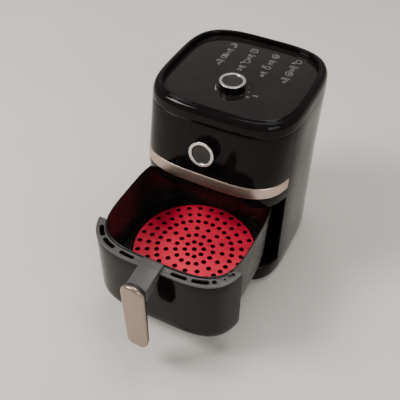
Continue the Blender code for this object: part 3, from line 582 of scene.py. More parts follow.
ang = even_angles(0, 2 * math.pi, N_FULL)[:-1]
rings = [[body_pt(t, z, i)[:2] + (z,) for t in ang] for z, i in
         ((326.8, 16.0), (328.2, 15.5), (328.7, 15.55), (328.93, 15.8), (Z_PANEL, 16.3))]
v, f = loft(rings)
o = mesh_obj("vis_top_panel", v, f, M["panel"], None, (), sharp=30)
boolean(o, [lathe([(0, 320), (4.6, 320), (4.6, 335), (0, 335)], 32, (0, TEMP_Y, 0)) + (False,)])
finish_obj(o, M["panel"], "body", ("top_panel",), 30)

prof = fillet([(0.1, Z_LIP + 0.2), (T + 4.5, Z_LIP), (T + 4.5, Z_LIP + 2.4), (T, Z_LIP + 2.6),
               (T + 0.9, Z_BAND0 - 2), (T + 0.9, Z_BAND1 + 2), (T, Z_BAND1 + 4), (T, Z_SEAM),
               (0, Z_SEAM), (0, Z_BAND1 + 0.3), (1.5, Z_BAND1 + 0.3), (1.5, Z_BAND0 - 0.3), (0, Z_BAND0 - 0.3)],
              [1.6, 0.5, 0.5, 0.3, 0.3, 0.3, 0.3, 0.3, 1.1, 0.25, 0.1, 0.1, 0.25], 5)
prof = densify(prof, 22.0)
v, f = sweep(prof, N_ARC, front_span)
o = mesh_obj("vis_front_fascia", v, f, M["gloss"], None, (), sharp=40)
boolean(o, [lathe([(0, -12), (5.0, -12), (5.0, 12), (0, 12)], 32, TIM_P, TIM_R) + (False,)])
finish_obj(o, M["gloss"], "body", ("front_fascia",), 40)

prof = fillet([(1.1, Z_BAND0 + 0.1), (0.0, Z_BAND0 + 0.1), (-0.35, Z_BAND0 + 0.9), (-0.35, Z_BAND1 - 1.5), (0.35, Z_BAND1 - 0.1),
               (1.1, Z_BAND1 - 0.1)], [0.1, 0.4, 0.6, 1.6, 0.6, 0.1], 5)
v, f = sweep(prof, N_ARC, lambda z, i: front_span(z, i, -0.6))
mesh_obj("vis_band", v, f, M["band"], "body", ("band_trim",), sharp=50)

def pl_span(z, i):
    a = SPLIT + 0.0025
    return (math.pi + a, 2 * math.pi - a)
prof = fillet([(0.2, Z_BODY0), (0, Z_PLINTH), (30.0, Z_PLINTH), (30.0, Z_PLINTH - 2.4), (T, Z_PLINTH - 2.6), (T, Z_BODY0)],
              [1.2, 3.0, 0.4, 0.4, 1.0, 0.6], 6)
prof = densify(prof, 14.0)
v, f = sweep(prof, N_ARC, pl_span)
mesh_obj("vis_front_plinth", v, f, M["gloss"], "body", ("front_plinth",), sharp=45)

LI = 7.2
prof = fillet([(LI, 12.0), (LI, 217.4), (LI + 9, 217.4), (LI + 9, 216.2), (LI + 1.2, 216.2), (LI + 1.2, 12.0)],
              [0.3, 1.6, 0.3, 0.3, 1.0, 0.3], 4)
prof = densify(prof, 40.0)
v, f = sweep(prof, int(N_ARC * 1.4), lambda z, i: (-math.radians(24.0), math.pi + math.radians(24.0)))
mesh_obj("vis_chamber_wall", v, f, M["nonstick"], "body", ("chamber_wall",), sharp=45)

# ------------------------------------------------------------------ dials
def dial(pref, base_z, top_z, body, at, rot, cad, drawer=False, notch=90.0, matring=None, matcap=None):
    R = DIAL_R
    pb = fillet([(3.4, base_z), (R - 0.6, base_z), (R - 0.15, base_z + 0.9), (R - 0.45, top_z - 1.55), (R - 3.9, top_z - 1.55),
                 (R - 3.9, top_z - 4.4), (3.4, top_z - 4.4)], [0.2, 0.5, 0.5, 0.3, 0.2, 0.2, 0.2], 4)
    pb = densify(pb, 3.0)
    v, f = lathe(pb, 128, at, rot)
    mesh_obj("vis_%s_dial_body" % pref, v, f, M["gloss"], body, (cad + "_body",), sharp=40)
    pr = fillet([(R - 4.9, top_z - 1.3), (R - 0.35, top_z - 1.3), (R, top_z - 0.9), (R - 0.25, top_z), (R - 4.3, top_z),
                 (R - 4.9, top_z - 0.5)], [0.15, 0.3, 0.3, 0.55, 0.5, 0.3], 5)
    v, f = lathe(pr, 144, at, rot)
    o = mesh_obj("vis_%s_dial_ring" % pref, v, f, matring, None, (), sharp=40)
    a = math.radians(notch)
    c, s = math.cos(a), math.sin(a)
    bv, bf = box_vf((R - 4.2, -0.55, top_z - 0.45), (R - 1.1, 0.55, top_z + 1.0))
    RR = rot if rot is not None else Matrix.Identity(3)
    bv = [tuple(Vector(at) + RR @ Vector((x * c - y * s, x * s + y * c, z))) for x, y, z in bv]
    boolean(o, [(bv, bf, False)])
    finish_obj(o, matring, body, (cad + "_ring",), 40)
    pc = fillet([(0, top_z - 4.0), (R - 5.4, top_z - 4.0), (R - 5.4, top_z - 1.6), (R - 6.4, top_z - 1.6), (R - 7.0, top_z - 2.1), (0, top_z - 2.1)],
                [0, 0.3, 0.3, 0.3, 0.4, 0], 4)
    pc = densify(pc, 2.0)
    v, f = lathe(pc, 96, at, rot)
    mesh_obj("vis_%s_dial_cap" % pref, v, f, matcap, body, (cad + "_cap",), sharp=30)

dial("temp", Z_PANEL + 0.8, Z_DIAL, "temp_dial", (0, TEMP_Y, 0), None, "temp_dial", notch=84.0, matring=M["ring_top"], matcap=M["cap_top"])
dial("timer", 1.0, 14.6, "timer_dial", TIM_P, TIM_R, "timer_dial", notch=90.0, matring=M["ring_front"], matcap=M["cap_front"])

# ------------------------------------------------------------------ printed marks
def extrude_polys(polys, to3d, h=0.06):
    verts, faces = [], []
    for poly in polys:
        n = len(poly)
        b = len(verts)
        verts += [to3d(x, y, 0.01) for x, y in poly] + [to3d(x, y, 0.01 + h) for x, y in poly]
        faces.append(tuple(b + k for k in reversed(range(n))))
        faces.append(tuple(b + n + k for k in range(n)))
        for k in range(n):
            k2 = (k + 1) % n
            faces.append((b + k, b + k2, b + n + k2, b + n + k))
    return verts, faces

def arc_poly(cx, cy, r, a0, a1, w0, w1, n=24):
    """Band of changing width along an arc."""
    o_, i_ = [], []
    for k in range(n + 1):
        t = math.radians(a0 + (a1 - a0) * k / n)
        w = (w0 + (w1 - w0) * k / n) / 2
        o_.append((cx + (r + w) * math.cos(t), cy + (r + w) * math.sin(t)))
        i_.append((cx + (r - w) * math.cos(t), cy + (r - w) * math.sin(t)))
    return o_ + i_[::-1]

def disc_poly(cx, cy, r, n=18, sx=1.0, sy=1.0):
    return [(cx + sx * r * math.cos(2 * math.pi * k / n), cy + sy * r * math.sin(2 * math.pi * k / n)) for k in range(n)]

def seg_poly(x0, y0, x1, y1, w):
    d = Vector((x1 - x0, y1 - y0)).normalized()
    n_ = Vector((-d.y, d.x)) * (w / 2)
    return [(x0 + n_.x, y0 + n_.y), (x0 - n_.x, y0 - n_.y), (x1 - n_.x, y1 - n_.y), (x1 + n_.x, y1 + n_.y)]

def text_polys(txt, cx, cy, size):
    """Outline quads of plain digits drawn as strokes, so that no font is needed."""
    SEG = {"0": "abcdef", "1": "bc", "2": "abged", "3": "abgcd", "4": "fgbc", "5": "afgcd", "6": "afgedc", "7": "abc",
           "8": "abcdefg", "9": "abcdfg", "-": "g"}
    h, w = size, size * 0.52
    st = size * 0.13
    adv = w + size * 0.26
    x = cx - (len(txt) * adv - size * 0.26) / 2
    out = []
    for ch in txt:
        P = {"a": (0, h, w, h), "b": (w, h, w, h / 2), "c": (w, h / 2, w, 0), "d": (0, 0, w, 0), "e": (0, h / 2, 0, 0),
             "f": (0, h, 0, h / 2), "g": (0, h / 2, w, h / 2)}
        if ch == "o":
            out.append(arc_poly(x + w * 0.3, cy + h * 0.35, size * 0.13, 0, 352, st * 0.7, st * 0.7, 14))
        else:
            for s_ in SEG.get(ch, ""):
                x0, y0, x1, y1 = P[s_]
                d = 0.42 * st
                if x0 == x1:
                    y0 -= d; y1 += d
                else:
                    x0 += d; x1 -= d
                out.append(seg_poly(x + x0, cy - h / 2 + y0, x + x1, cy - h / 2 + y1, st))
        x += adv
    return out

def on_panel(x, y, h):
    return (x, y, Z_PANEL + h)

polys = []
cx, cy = 0.0, TEMP_Y
polys.append(arc_poly(cx, cy, 25.6, 222, 186, 2.3, 0.5, 22))                # growing wedge at the left of the dial
polys.append(disc_poly(cx - 24.6, cy + 5.4, 0.75))
for k in range(7):                                                          # faint scale ticks round the rest
    a = math.radians(150 - 30.0 * k)
    polys.append(seg_poly(cx + 24.6 * math.cos(a), cy + 24.6 * math.sin(a), cx + 26.2 * math.cos(a), cy + 26.2 * math.sin(a), 0.55))
polys.append(disc_poly(27.6, -17.2, 1.15))
polys += text_polys("80", 31.0, -30.0, 3.4)
polys += text_polys("200", 40.2, -22.6, 3.6)

def stroke(pts, w, close=False):
    """Thin joined line pieces through a list of points."""
    out = []
    q = pts + [pts[0]] if close else pts
    for a_, b_ in zip(q[:-1], q[1:]):
        out.append(seg_poly(a_[0], a_[1], b_[0], b_[1], w))
    return out

def icon(kind, x, y, s):
    w = 0.85
    P = []
    def at(*pts):
        return [(x + px * s, y + py * s) for px, py in pts]
    if kind == "fries":
        for d, tp in ((-0.42, 0.75), (-0.14, 0.95), (0.14, 0.85), (0.42, 0.98)):
            P += stroke(at((d, -0.05), (d * 1.25, tp)), w * 1.3)
        P += stroke(at((-0.62, 0.02), (-0.44, -0.85), (0.44, -0.85), (0.62, 0.02)), w)
        P += stroke(at((-0.62, 0.02), (0.0, -0.22), (0.62, 0.02)), w)
    elif kind == "leg":
        P.append(arc_poly(x + 0.24 * s, y + 0.22 * s, 0.56 * s, -115, 205, w, w, 26))
        P += stroke(at((0.0, -0.29), (-0.52, -0.72)), w)
        P += stroke(at((-0.28, 0.0), (-0.66, -0.5)), w)
        P.append(arc_poly(x - 0.66 * s, y - 0.70 * s, 0.17 * s, 60, 330, w, w, 14))
    elif kind == "fish":
        P.append(arc_poly(x + 0.1 * s, y - 0.42 * s, 0.86 * s, 40, 140, w, w, 20))
        P.append(arc_poly(x + 0.1 * s, y + 0.42 * s, 0.86 * s, -140, -40, w, w, 20))
        P += stroke(at((-0.56, 0.1), (-0.98, 0.38), (-0.98, -0.38), (-0.56, -0.1)), w)
        P.append(disc_poly(x + 0.42 * s, y + 0.06 * s, 0.08 * s, 10))
    elif kind == "steak":
        P.append(arc_poly(x, y, 0.70 * s, 0, 352, w, w, 30))
        P.append(arc_poly(x + 0.1 * s, y + 0.05 * s, 0.30 * s, 0, 350, w, w, 18))
    elif kind == "cake":
        P += stroke(at((-0.7, -0.6), (0.7, -0.6), (0.7, 0.1), (-0.7, 0.1)), w, True)
        P += stroke(at((-0.7, 0.1), (-0.45, 0.6), (0.45, 0.6), (0.7, 0.1)), w)
    elif kind == "shrimp":
        P.append(arc_poly(x, y, 0.62 * s, -60, 200, w, w, 22))
        P.append(arc_poly(x, y, 0.30 * s, -60, 200, w, w, 18))
        P += stroke(at((0.31, -0.54), (0.78, -0.80), (0.66, -0.40)), w)
    return P

COLS = (("fries", "200o", "15"), ("leg", "180o", "25"), ("fish", "180o", "18"), ("steak", "200o", "12"))
for k, (kind, t1, t2) in enumerate(COLS):
    x = -48.0 + 37.4 * k
    polys += icon(kind, x, 56.0, 8.2)
    polys += text_polys(t1, x + 0.8, 40.0, 5.2)
    polys += text_polys(t2, x, 31.8, 5.2)
COLS = (("shrimp", "160o", "12"), ("cake", "160o", "30"), ("steak", "180o", "20"), ("leg", "200o", "30"))
for k, (kind, t1, t2) in enumerate(COLS):
    x = -48.0 + 37.4 * k
    polys += icon(kind, x, 92.0, 8.2)
    polys += text_polys(t1, x + 0.8, 76.0, 5.2)
    polys += text_polys(t2, x, 67.8, 5.2)
v, f = extrude_polys(polys, on_panel)
mesh_obj("vis_panel_print", v, f, M["ink"], "body", (), sharp=20, fix=False)

def fascia_pt(x, z, h):
    a, yc, bf, nf, br, nr = outline(z)
    y = yc - bf * (1 - (abs(x) / a) ** nf) ** (1 / nf)
    return (x, y - h, z)
def on_fascia(u, w, h):
    return fascia_pt(u, TIMER_Z + w * math.cos(LEAN), h)
polys = []
for k in range(11):                                                         # faint minute scale
    a = math.radians(68 - 31.6 * k)
    polys.append(seg_poly(23.6 * math.cos(a), 23.6 * math.sin(a), 25.0 * math.cos(a), 25.0 * math.sin(a), 0.5))
v, f = extrude_polys(polys, on_fascia, 0.05)
mesh_obj("vis_timer_print", v, f, M["ink_dim"], "body", (), sharp=20, fix=False)

def shrink(poly, d):
    n = len(poly)
    out = []
    for i in range(n):
        a, b, c = Vector(poly[i - 1]), Vector(poly[i]), Vector(poly[(i + 1) % n])
        e1, e2 = (b - a).normalized(), (c - b).normalized()
        n1, n2 = Vector((-e1.y, e1.x)), Vector((-e2.y, e2.x))
        m_ = n1 + n2
        m_ = m_.normalized() if m_.length > 1e-9 else n1
        out.append(tuple(b + m_ * (d / max(m_.dot(n1), 0.6))))
    return out

# ------------------------------------------------------------------ drawer
def dr_span(z, i):
    a = SPLIT + 0.008
    return (math.pi + a, 2 * math.pi - a)
prof = fillet([(0, 177.8), (0, 118), (0, 66), (0.9, 56), (3.2, 50.0), (7.2, 46.4), (11.5, Z_SHELL0), (11.5, Z_SHELL0 + 2.4),
               (8.0, 49.0), (5.0, 52.4), (3.4, 57.2), (2.7, 66), (2.7, 118), (2.7, 177.8)],
              [0.5, 0, 60, 30, 14, 12, 0.8, 0.6, 8, 10, 16, 30, 0, 0.3], 5)
prof = densify(prof, 18.0)
v, f = sweep(prof, N_ARC, dr_span)
RIB = fillet([(107.9, 177.4), (107.4, 150.0), (105.3, 96.0), (103.7, 76.0), (100.4, 62.0), (100.4, 58.0), (119.6, 58.0), (120.7, 66.0),
              (120.7, 177.4)], [0.4, 0, 60, 30, 3, 0.6, 2, 10, 0.3], 5)
for sx in (-1, 1):
    lay = [[(sx * x, y, z) for x, z in shrink(RIB[::-1], d_)] for y, d_ in ((-67.8, 0.3), (-67.5, 0.0), (-66.2, 0.0), (-65.9, 0.3))]
    rv, rf = loft(lay)
    b0 = len(v)
    v = list(v) + rv
    f = list(f) + [tuple(b0 + q_ for q_ in ff) for ff in rf]
mesh_obj("vis_drawer_front", v, f, M["gloss_drawer"], "drawer", ("drawer_front",), drawer=True, sharp=42)

a0, a1 = dr_span(0, 0)
CA = even_angles(a0, a1, N_ARC)
c_out = [body_pt(t, 181.0, 0.0)[:2] for t in CA]
def inner_end(pt):
    best = None
    for k in range(3000):
        t = math.pi + math.pi * k / 3000.0
        x, y, _ = pan_pt(t, 0, -3.1)
        if (x > 0) == (pt[0] > 0):
            e = abs(y - pt[1])
            if best is None or e < best[0]:
                best = (e, t)
    return best[1]
tl, tr = inner_end(c_out[0]), inner_end(c_out[-1])
c_in = [pan_pt(t, 0, -3.1)[:2] for t in even_angles(tl, tr, N_ARC)][::-1]
ring = c_out + c_in
def slot_poly(ang_d, half, w, d=8.0):
    c = math.radians(270 + ang_d)
    hs = math.radians(half)
    pts = []
    n = 10
    for k in range(n + 1):
        pts.append(body_pt(c - hs + 2 * hs * k / n, 181, d + w)[:2])
    P0, P1 = Vector(body_pt(c + hs, 181, d)[:2]), Vector(body_pt(c + hs, 181, d + w)[:2])
    for k in range(1, 8):
        t = math.pi * k / 8
        u = (P1 - P0)
        q = Vector((u.x * math.cos(t) + u.y * math.sin(t) * 1.0, u.y * math.cos(t) - u.x * math.sin(t)))
        w_ = P0 + Vector((u.x * math.cos(-t) - u.y * math.sin(-t), u.x * math.sin(-t) + u.y * math.cos(-t)))
        pts.append(tuple(w_))
    for k in range(n + 1):
        pts.append(body_pt(c + hs - 2 * hs * k / n, 181, d - w)[:2])
    P0, P1 = Vector(body_pt(c - hs, 181, d)[:2]), Vector(body_pt(c - hs, 181, d - w)[:2])
    for k in range(1, 8):
        t = math.pi * k / 8
        u = (P1 - P0)
        pts.append(tuple(P0 + Vector((u.x * math.cos(-t) - u.y * math.sin(-t), u.x * math.sin(-t) + u.y * math.cos(-t)))))
    return pts
SLOTS = ((-49.4, 3.4, 3.0), (-37.2, 4.0, 3.0), (-21.2, 4.4, 3.0), (20.8, 4.4, 3.0), (34.9, 4.0, 3.0), (43.4, 0.3, 2.4),
         (50.2, 0.1, 1.0), (56.4, 0.2, 1.8))
def plate_with_holes(outer, holes, z0, z1, bev, res=3):
    """Flat plate with rounded edges, from one closed outline and closed holes (row axes, mm)."""
    cu = bpy.data.curves.new("outline", 'CURVE')
    cu.dimensions = '2D'
    cu.fill_mode = 'BOTH'
    cu.extrude = (0.5 * (z1 - z0) - bev) * MM
    cu.bevel_depth = bev * MM
    cu.bevel_resolution = res
    for poly in [outer] + holes:
        sp = cu.splines.new('POLY')
        sp.points.add(len(poly) - 1)
        for k, (x, y) in enumerate(poly):
            sp.points[k].co = (x * MM, y * MM, 0, 1)
        sp.use_cyclic_u = True
    ob = bpy.data.objects.new("outline", cu)
    bpy.context.collection.objects.link(ob)
    bpy.context.view_layer.update()
    dg = bpy.context.evaluated_depsgraph_get()
    me = bpy.data.meshes.new_from_object(ob.evaluated_get(dg))
    bpy.data.objects.remove(ob, do_unlink=True)
    bm = bmesh.new()
    bm.from_mesh(me)
    bmesh.ops.remove_doubles(bm, verts=bm.verts, dist=2e-6)
    for vv in bm.verts:
        vv.co.z += 0.5 * (z0 + z1) * MM
    bmesh.ops.recalc_face_normals(bm, faces=bm.faces)
    if bm.calc_volume(signed=True) < 0:
        bmesh.ops.reverse_faces(bm, faces=bm.faces)
    bm.to_mesh(me)
    bm.free()
    return me
def drow(poly):
    return [(x, y + DY - OPEN) for x, y in poly]
BEV = 0.7
holes = [drow(slot_poly(a_, h_, w_ + BEV)) for a_, h_, w_ in SLOTS]
outer = drow(shrink(ring, BEV))
me = plate_with_holes(outer, holes, 178.2, Z_COLLAR, BEV)
o = bpy.data.objects.new("vis_collar", me)
bpy.context.collection.objects.link(o)
finish_obj(o, M["grey"], "drawer", ("collar",), 50)

pa = even_angles(0, 2 * math.pi, N_FULL)[:-1]
P = [(34, Z_PAN0), (9.5, Z_PAN0), (5.0, 62.4), (3.0, 68), (2.1, 76), (0.7, 96), (-1.2, 150), (-1.6, 178), (-2.4, 180.4),
     (-2.6, 182.3), (-1.7, Z_PAN1), (-0.7, 182.8), (0, 180), (0.4, 150), (2.3, 96), (3.7, 76), (4.7, 70), (6.8, 64.6),
     (11, 61.8), (34, 61.6)]
Q = fillet([P[0], (7.0, Z_PAN0), (2.6, 66), (0.7, 96), (-1.2, 150), (-1.55, 178.5), (-2.6, 180.6), (-2.6, Z_PAN1), (-0.6, Z_PAN1),
            (0.0, 178), (0.4, 150), (2.3, 96), (4.2, 74), (9.0, 61.7), P[-1]],
           [0, 9, 12, 60, 80, 3, 0.9, 1.0, 1.2, 6, 80, 60, 20, 12, 0], 7, closed=False)
v, f = loft([[pan_pt(t, z, d) for t in pa] for d, z in Q])
mesh_obj("vis_pan", v, f, M["nonstick"], "drawer", ("pan",), drawer=True, sharp=50)

# fill lines embossed on the rear wall of the pan
def pan_wall_rear(x, z, h):
    d = lerp(z, (96, 150, 180), (2.3, 0.4, 0.0)) + h
    a_, b_ = PAN_A - d, PAN_B - d
    return (x, PAN_YC + b_ * (1 - (abs(x) / a_) ** PAN_N) ** (1 / PAN_N), z)
verts, faces = [], []
for z0, x0, x1 in ((160.0, -66, -38), (152.0, -66, -50)):
    n = 10
    b = len(verts)
    for k in range(n + 1):
        x = x0 + (x1 - x0) * k / n
        for (dz, h) in ((-0.55, -0.3), (0.55, -0.3), (0.35, 0.28), (-0.35, 0.28)):
            verts.append(pan_wall_rear(x, z0 + dz, h))
    for k in range(n):
        for j in range(4):
            j2 = (j + 1) % 4
            faces.append((b + k * 4 + j, b + k * 4 + j2, b + (k + 1) * 4 + j2, b + (k + 1) * 4 + j))
    faces.append((b, b + 1, b + 2, b + 3))
    faces.append((b + n * 4 + 3, b + n * 4 + 2, b + n * 4 + 1, b + n * 4))
mesh_obj("vis_fill_lines", verts, faces, M["ink_dim"], "drawer", (), drawer=True, sharp=30)

# handle bridge
def side_extrude(poly, x0, x1, bev, seg=4):
    lay = []
    for k in range(seg + 1):
        t = 0.5 * math.pi * k / seg
        lay.append((x0 + bev * (1 - math.cos(t)), bev * (1 - math.sin(t))))
    for k in range(seg, -1, -1):
        t = 0.5 * math.pi * k / seg
        lay.append((x1 - bev * (1 - math.cos(t)), bev * (1 - math.sin(t))))
    rings = []
    for x, d in lay:
        rings.append([(x, y, z) for y, z in shrink(poly, d)])
    return loft(rings)
bp = [(-107.0, 181.8), (-121.3, 181.8), (-121.4, 172.0), (-138.0, 165.0), (-159.1, 158.0),
      (-159.1, 182.6), (-140.0, 185.6), (-122.0, 187.25), (-107.0, 187.25)][::-1]
bp = fillet(bp, [1.6, 14.0, 12.0, 2.4, 2.0, 14.0, 3.0, 0.8, 0.8], 7)
bp = densify(bp, 5.0)
area = sum(bp[i - 1][0] * bp[i][1] - bp[i][0] * bp[i - 1][1] for i in range(len(bp)))
if area < 0:
    bp = bp[::-1]
v, f = side_extrude(bp, -16.6, 16.6, 1.5)
mesh_obj("vis_handle_bridge", v, f, M["grey"], "drawer", ("handle_bridge",), drawer=True, sharp=35)

def front_outline(z0, z1, w0, w1, r0, r1, n=14):
    pts = []
    for (cx_, cz_, r, a_) in ((w0 / 2 - r0, z1 - r0, r0, 0.0), (-w0 / 2 + r0, z1 - r0, r0, 0.5 * math.pi),
                              (-w1 / 2 + r1, z0 + r1, r1, math.pi), (w1 / 2 - r1, z0 + r1, r1, 1.5 * math.pi)):
        for k in range(n + 1):
            a = a_ + 0.5 * math.pi * k / n
            pts.append((cx_ + r * math.cos(a), cz_ + r * math.sin(a)))
    return pts
def grip_loft(lay, name, mat, cad):
    base = densify(front_outline(HANDLE_Z0, HANDLE_Z1, HANDLE_W0, HANDLE_W1, 18.4, 15.0, 20), 8.0)
    area = sum(base[i - 1][0] * base[i][1] - base[i][0] * base[i - 1][1] for i in range(len(base)))
    if area < 0:
        base = base[::-1]
    rings = [[(x, y, z) for x, z in shrink(base, d)] for y, d in lay]
    v, f = loft(rings)
    mesh_obj(name, v, f, mat, "drawer", (cad,), drawer=True, sharp=28)
grip_loft([(-159.5, 3.4), (-159.8, 2.6), (-160.7, 2.0), (-162.3, 1.7), (-165.9, 1.6)], "vis_handle_grip", M["black"], "handle_grip")
lay = [(-166.3, 0.35), (-166.6, 0.05), (-167.0, 0.0), (-168.2, 0.0), (-169.3, 0.18), (-170.3, 0.7), (-171.2, 1.5), (-171.8, 2.4),
       (-172.2, 3.4), (-172.42, 4.5), (HANDLE_Y, 5.6)]
# the handle cover's champagne carries a painted warm reflection: darker and warmer than the band
grip_loft(lay, "vis_handle_cover", M["cover"], "handle_cover")

# crisper plate with slots, standing on its soft feet
def plate_pt(th, z, d):
    return pan_pt(th, z, d)
Q = fillet([(30, 86.8), (9.5, 86.8), (7.0, 82.5), (5.2, 82.5), (4.2, 88.6), (5.0, Z_PLATE), (30, Z_PLATE)],
           [0, 1.5, 0.8, 0.8, 1.2, 0.6, 0], 4, closed=False)
v, f = loft([[plate_pt(t, z, d) for t in pa] for d, z in Q])
o = mesh_obj("vis_crisper_plate", v, f, M["nonstick"], None, (), drawer=True, sharp=35)
cv, cf = [], []
for i in range(-3, 4):
    for j in (-1, 1):
        pp = []
        for k in range(9):
            t = math.pi * k / 8
            pp.append((i * 24 + 2.6 * math.cos(t), PAN_YC + j * 84 + 4.4 + 2.6 * math.sin(t)))
        for k in range(9):
            t = math.pi + math.pi * k / 8
            pp.append((i * 24 + 2.6 * math.cos(t), PAN_YC + j * 84 - 4.4 + 2.6 * math.sin(t)))
        b = len(cv)
        lv, lf = loft([[(x, y, 78) for x, y in pp], [(x, y, 94) for x, y in pp]])
        cv += lv
        cf += [tuple(b + q for q in ff) for ff in lf]
for sx in (-1, 1):
    for j in range(-2, 3):
        if j == 0:
            continue
        pp = []
        for k in range(9):
            t = math.pi * k / 8 - math.pi / 2
            pp.append((sx * 94 + 3.6 + 2.6 * math.cos(t), PAN_YC + j * 24 + 2.6 * math.sin(t)))
        for k in range(9):
            t = math.pi * k / 8 + math.pi / 2
            pp.append((sx * 94 - 3.6 + 2.6 * math.cos(t), PAN_YC + j * 24 + 2.6 * math.sin(t)))
        b = len(cv)
        lv, lf = loft([[(x, y, 78) for x, y in pp], [(x, y, 94) for x, y in pp]])
        cv += lv
        cf += [tuple(b + q for q in ff) for ff in lf]
boolean(o, [(cv, cf, True)])
finish_obj(o, M["nonstick"], "plate", ("crisper_plate",), 35)

# silicone mat: perforated disc from rings of holes, with short nubs beneath
def perforated_disc():
    cu = bpy.data.curves.new("mat_outline", 'CURVE')
    cu.dimensions = '2D'
    cu.fill_mode = 'BOTH'
    cu.extrude = 0.62 * MM
    cu.bevel_depth = 0.28 * MM
    cu.bevel_resolution = 2
    def circle(x, y, r, n):
        sp = cu.splines.new('POLY')
        sp.points.add(n - 1)
        for k in range(n):
            t = 2 * math.pi * k / n
            sp.points[k].co = ((x + r * math.cos(t)) * MM, (y + r * math.sin(t)) * MM, 0, 1)
        sp.use_cyclic_u = True
    circle(0, 0, MAT_R - 0.3, 200)
    s = MAT_R / 6.47
    hr = 0.27 * s + 0.28
    holes = [(0.0, 0.0)]
    for k, (cnt, ph) in enumerate(((8, 0.0), (15, 0.5), (15, 0.5), (30, 0.0), (30, 0.0), (30, 0.0))):
        r = s * (k + 1)
        for q in range(cnt):
            t = 2 * math.pi * (q + ph) / cnt + 0.468
            holes.append((r * math.cos(t), r * math.sin(t)))
    for x, y in holes:
        circle(x, y, hr, 20)
    ob = bpy.data.objects.new("mat_tmp", cu)
    bpy.context.collection.objects.link(ob)
    bpy.context.view_layer.update()
    dg = bpy.context.evaluated_depsgraph_get()
    me = bpy.data.meshes.new_from_object(ob.evaluated_get(dg))
    bpy.data.objects.remove(ob, do_unlink=True)
    return me, holes, s
me, holes, s = perforated_disc()
bm = bmesh.new()
bm.from_mesh(me)
bmesh.ops.remove_doubles(bm, verts=bm.verts, dist=2e-6)
for vv in bm.verts:
    vv.co.z += 94.3 * MM
for k in range(3):
    pass
nub = []
for k, cnt in ((1.5, 8), (2.5, 15), (3.5, 15), (4.5, 30), (5.5, 30)):
    for q in range(cnt):
        t = 2 * math.pi * (q + 0.5) / cnt + 0.468
        nub.append((s * k * math.cos(t), s * k * math.sin(t)))
for x, y in nub:
    ret = bmesh.ops.create_cone(bm, cap_ends=True, cap_tris=False, segments=8, radius1=1.0 * MM, radius2=1.5 * MM, depth=2.7 * MM)
    bmesh.ops.translate(bm, verts=ret["verts"], vec=(x * MM, y * MM, 92.0 * MM))
for vv in bm.verts:
    vv.co.x += MAT_X * MM
    vv.co.y += (MAT_Y + DY - OPEN) * MM
bmesh.ops.recalc_face_normals(bm, faces=bm.faces)
bm.to_mesh(me)
bm.free()
o = bpy.data.objects.new("vis_silicone_mat", me)
bpy.context.collection.objects.link(o)
finish_obj(o, M["silicone"], "mat", ("silicone_mat",), 40)

# ------------------------------------------------------------------ feet and carried-over nodes
for k, (x, y) in enumerate(((-86, -84), (86, -84), (-86, 96), (86, 96))):
    pf = densify(fillet([(0, 0), (11.6, 0), (12, 2.0), (10.6, 8.0), (0, 8.0)], [0, 1.2, 1.0, 0.4, 0], 4), 3.0)
    v, f = lathe(pf, 48, (x, y, 0))
    mesh_obj("vis_foot_%d" % (k + 1), v, f, M["rubber"], "body", ("foot_%d" % (k + 1),), sharp=40)

KEEP = {"base_tray": "black", "runner_left": "black", "runner_right": "black", "chamber_roof": "alu", "heater_coil": "heater",
        "heater_guard": "steel", "motor_body": "steel", "motor_bracket": "alu", "fan_shroud": "black",
        "thermostat_body": "white", "thermostat_bulb": "brass", "timer_body": "white", "timer_bell": "steel",
        "terminal_block": "white", "microswitch": "black", "rear_grille": "black", "exhaust_duct": "alu",
        "cord_outlet": "rubber", "base_screw_1": "steel", "base_screw_2": "steel", "guard_post_1": "steel",
        "guard_post_2": "steel", "guard_post_3": "steel", "motor_shaft": "steel", "convection_fan": "steel",
        "cooling_fan": "black", "switch_plunger": "brass", "temp_dial_shaft": "brass", "timer_dial_shaft": "brass",
        "switch_tab": "grey", "plate_foot_1": "rubber", "plate_foot_2": "rubber", "plate_foot_3": "rubber",
        "plate_foot_4": "rubber"}
for name, key in KEEP.items():
    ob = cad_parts.get(name)
    if ob is None:
        continue
    for sl in ob.material_slots:
        sl.material = M[key]
    if not ob.material_slots:
        ob.data.materials.append(M[key])

# ------------------------------------------------------------------ stage, light and camera
def floor_mat():
    m, t, b = new_mat("stage_floor")
    n = noise(t, coords(t), 3.0, 2.0, 0.5)
    t.links.new(ramp(t, n, [(0.3, (0.735, 0.69, 0.64)), (0.7, (0.765, 0.72, 0.67))]), b.inputs["Base Color"])
    b.inputs["Roughness"].default_value = 0.75
    b.inputs["Specular IOR Level"].default_value = 0.2
    return m
bm = bmesh.new()
bmesh.ops.create_grid(bm, x_segments=2, y_segments=2, size=6.0)
me = bpy.data.meshes.new("stage_floor")
bm.to_mesh(me); bm.free()
floor = bpy.data.objects.new("stage_floor", me)
bpy.context.collection.objects.link(floor)
me.materials.append(floor_mat())
floor.location = (0, 0, -0.0004)

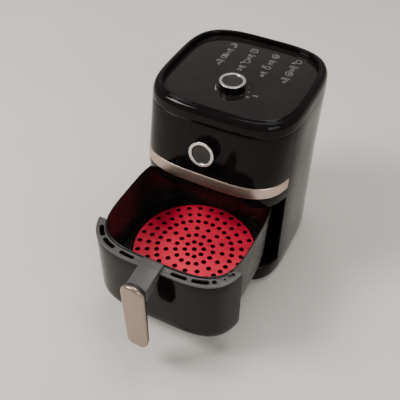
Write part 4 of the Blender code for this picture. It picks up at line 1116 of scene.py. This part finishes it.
world = bpy.data.worlds.new("studio")
bpy.context.scene.world = world
world.use_nodes = True
bg = world.node_tree.nodes["Background"]
bg.inputs["Color"].default_value = (0.90, 0.88, 0.86, 1)
bg.inputs["Strength"].default_value = 0.42

def area_light(name, loc, target, size, size_y, power, color=(1, 1, 1)):
    li = bpy.data.lights.new(name, 'AREA')
    li.shape = 'RECTANGLE'
    li.size, li.size_y = size, size_y
    li.energy = power
    li.color = color
    ob = bpy.data.objects.new(name, li)
    bpy.context.collection.objects.link(ob)
    ob.location = loc
    d = Vector(target) - Vector(loc)
    ob.rotation_euler = d.to_track_quat('-Z', 'Y').to_euler()
    return ob
area_light("key", (-1.5, -1.0, 2.1), (0, 0, 0.12), 0.9, 0.9, 58, (1.0, 0.975, 0.95))
area_light("fill", (1.9, -1.3, 1.4), (0, 0, 0.15), 1.4, 1.0, 17, (1.0, 0.98, 0.97))
area_light("top", (0.1, 0.6, 2.4), (0, 0, 0.1), 1.4, 0.8, 24, (1.0, 0.98, 0.96))

# camera: solved view of the front right from above
AZ, EL, ROLL, DIST, FPX = 0.4679, 0.7949, 0.0067, 1.1108, 623.61
TGT = Vector((-0.03655, -0.05292 + DY * MM, 0.0970))
d = Vector((math.sin(AZ) * math.cos(EL), -math.cos(AZ) * math.cos(EL), math.sin(EL)))
C = TGT + d * DIST
fwd = -d
r = fwd.cross(Vector((0, 0, 1))).normalized()
u = r.cross(fwd)
r2 = r * math.cos(ROLL) + u * math.sin(ROLL)
u2 = -r * math.sin(ROLL) + u * math.cos(ROLL)
cam_data = bpy.data.cameras.new("camera")
cam_data.sensor_width = 36.0
cam_data.lens = FPX / 400.0 * 36.0
cam_data.clip_start, cam_data.clip_end = 0.02, 60.0
cam = bpy.data.objects.new("camera", cam_data)
bpy.context.collection.objects.link(cam)
cam.matrix_world = Matrix(((r2.x, u2.x, -fwd.x, C.x), (r2.y, u2.y, -fwd.y, C.y), (r2.z, u2.z, -fwd.z, C.z), (0, 0, 0, 1)))
bpy.context.scene.camera = cam
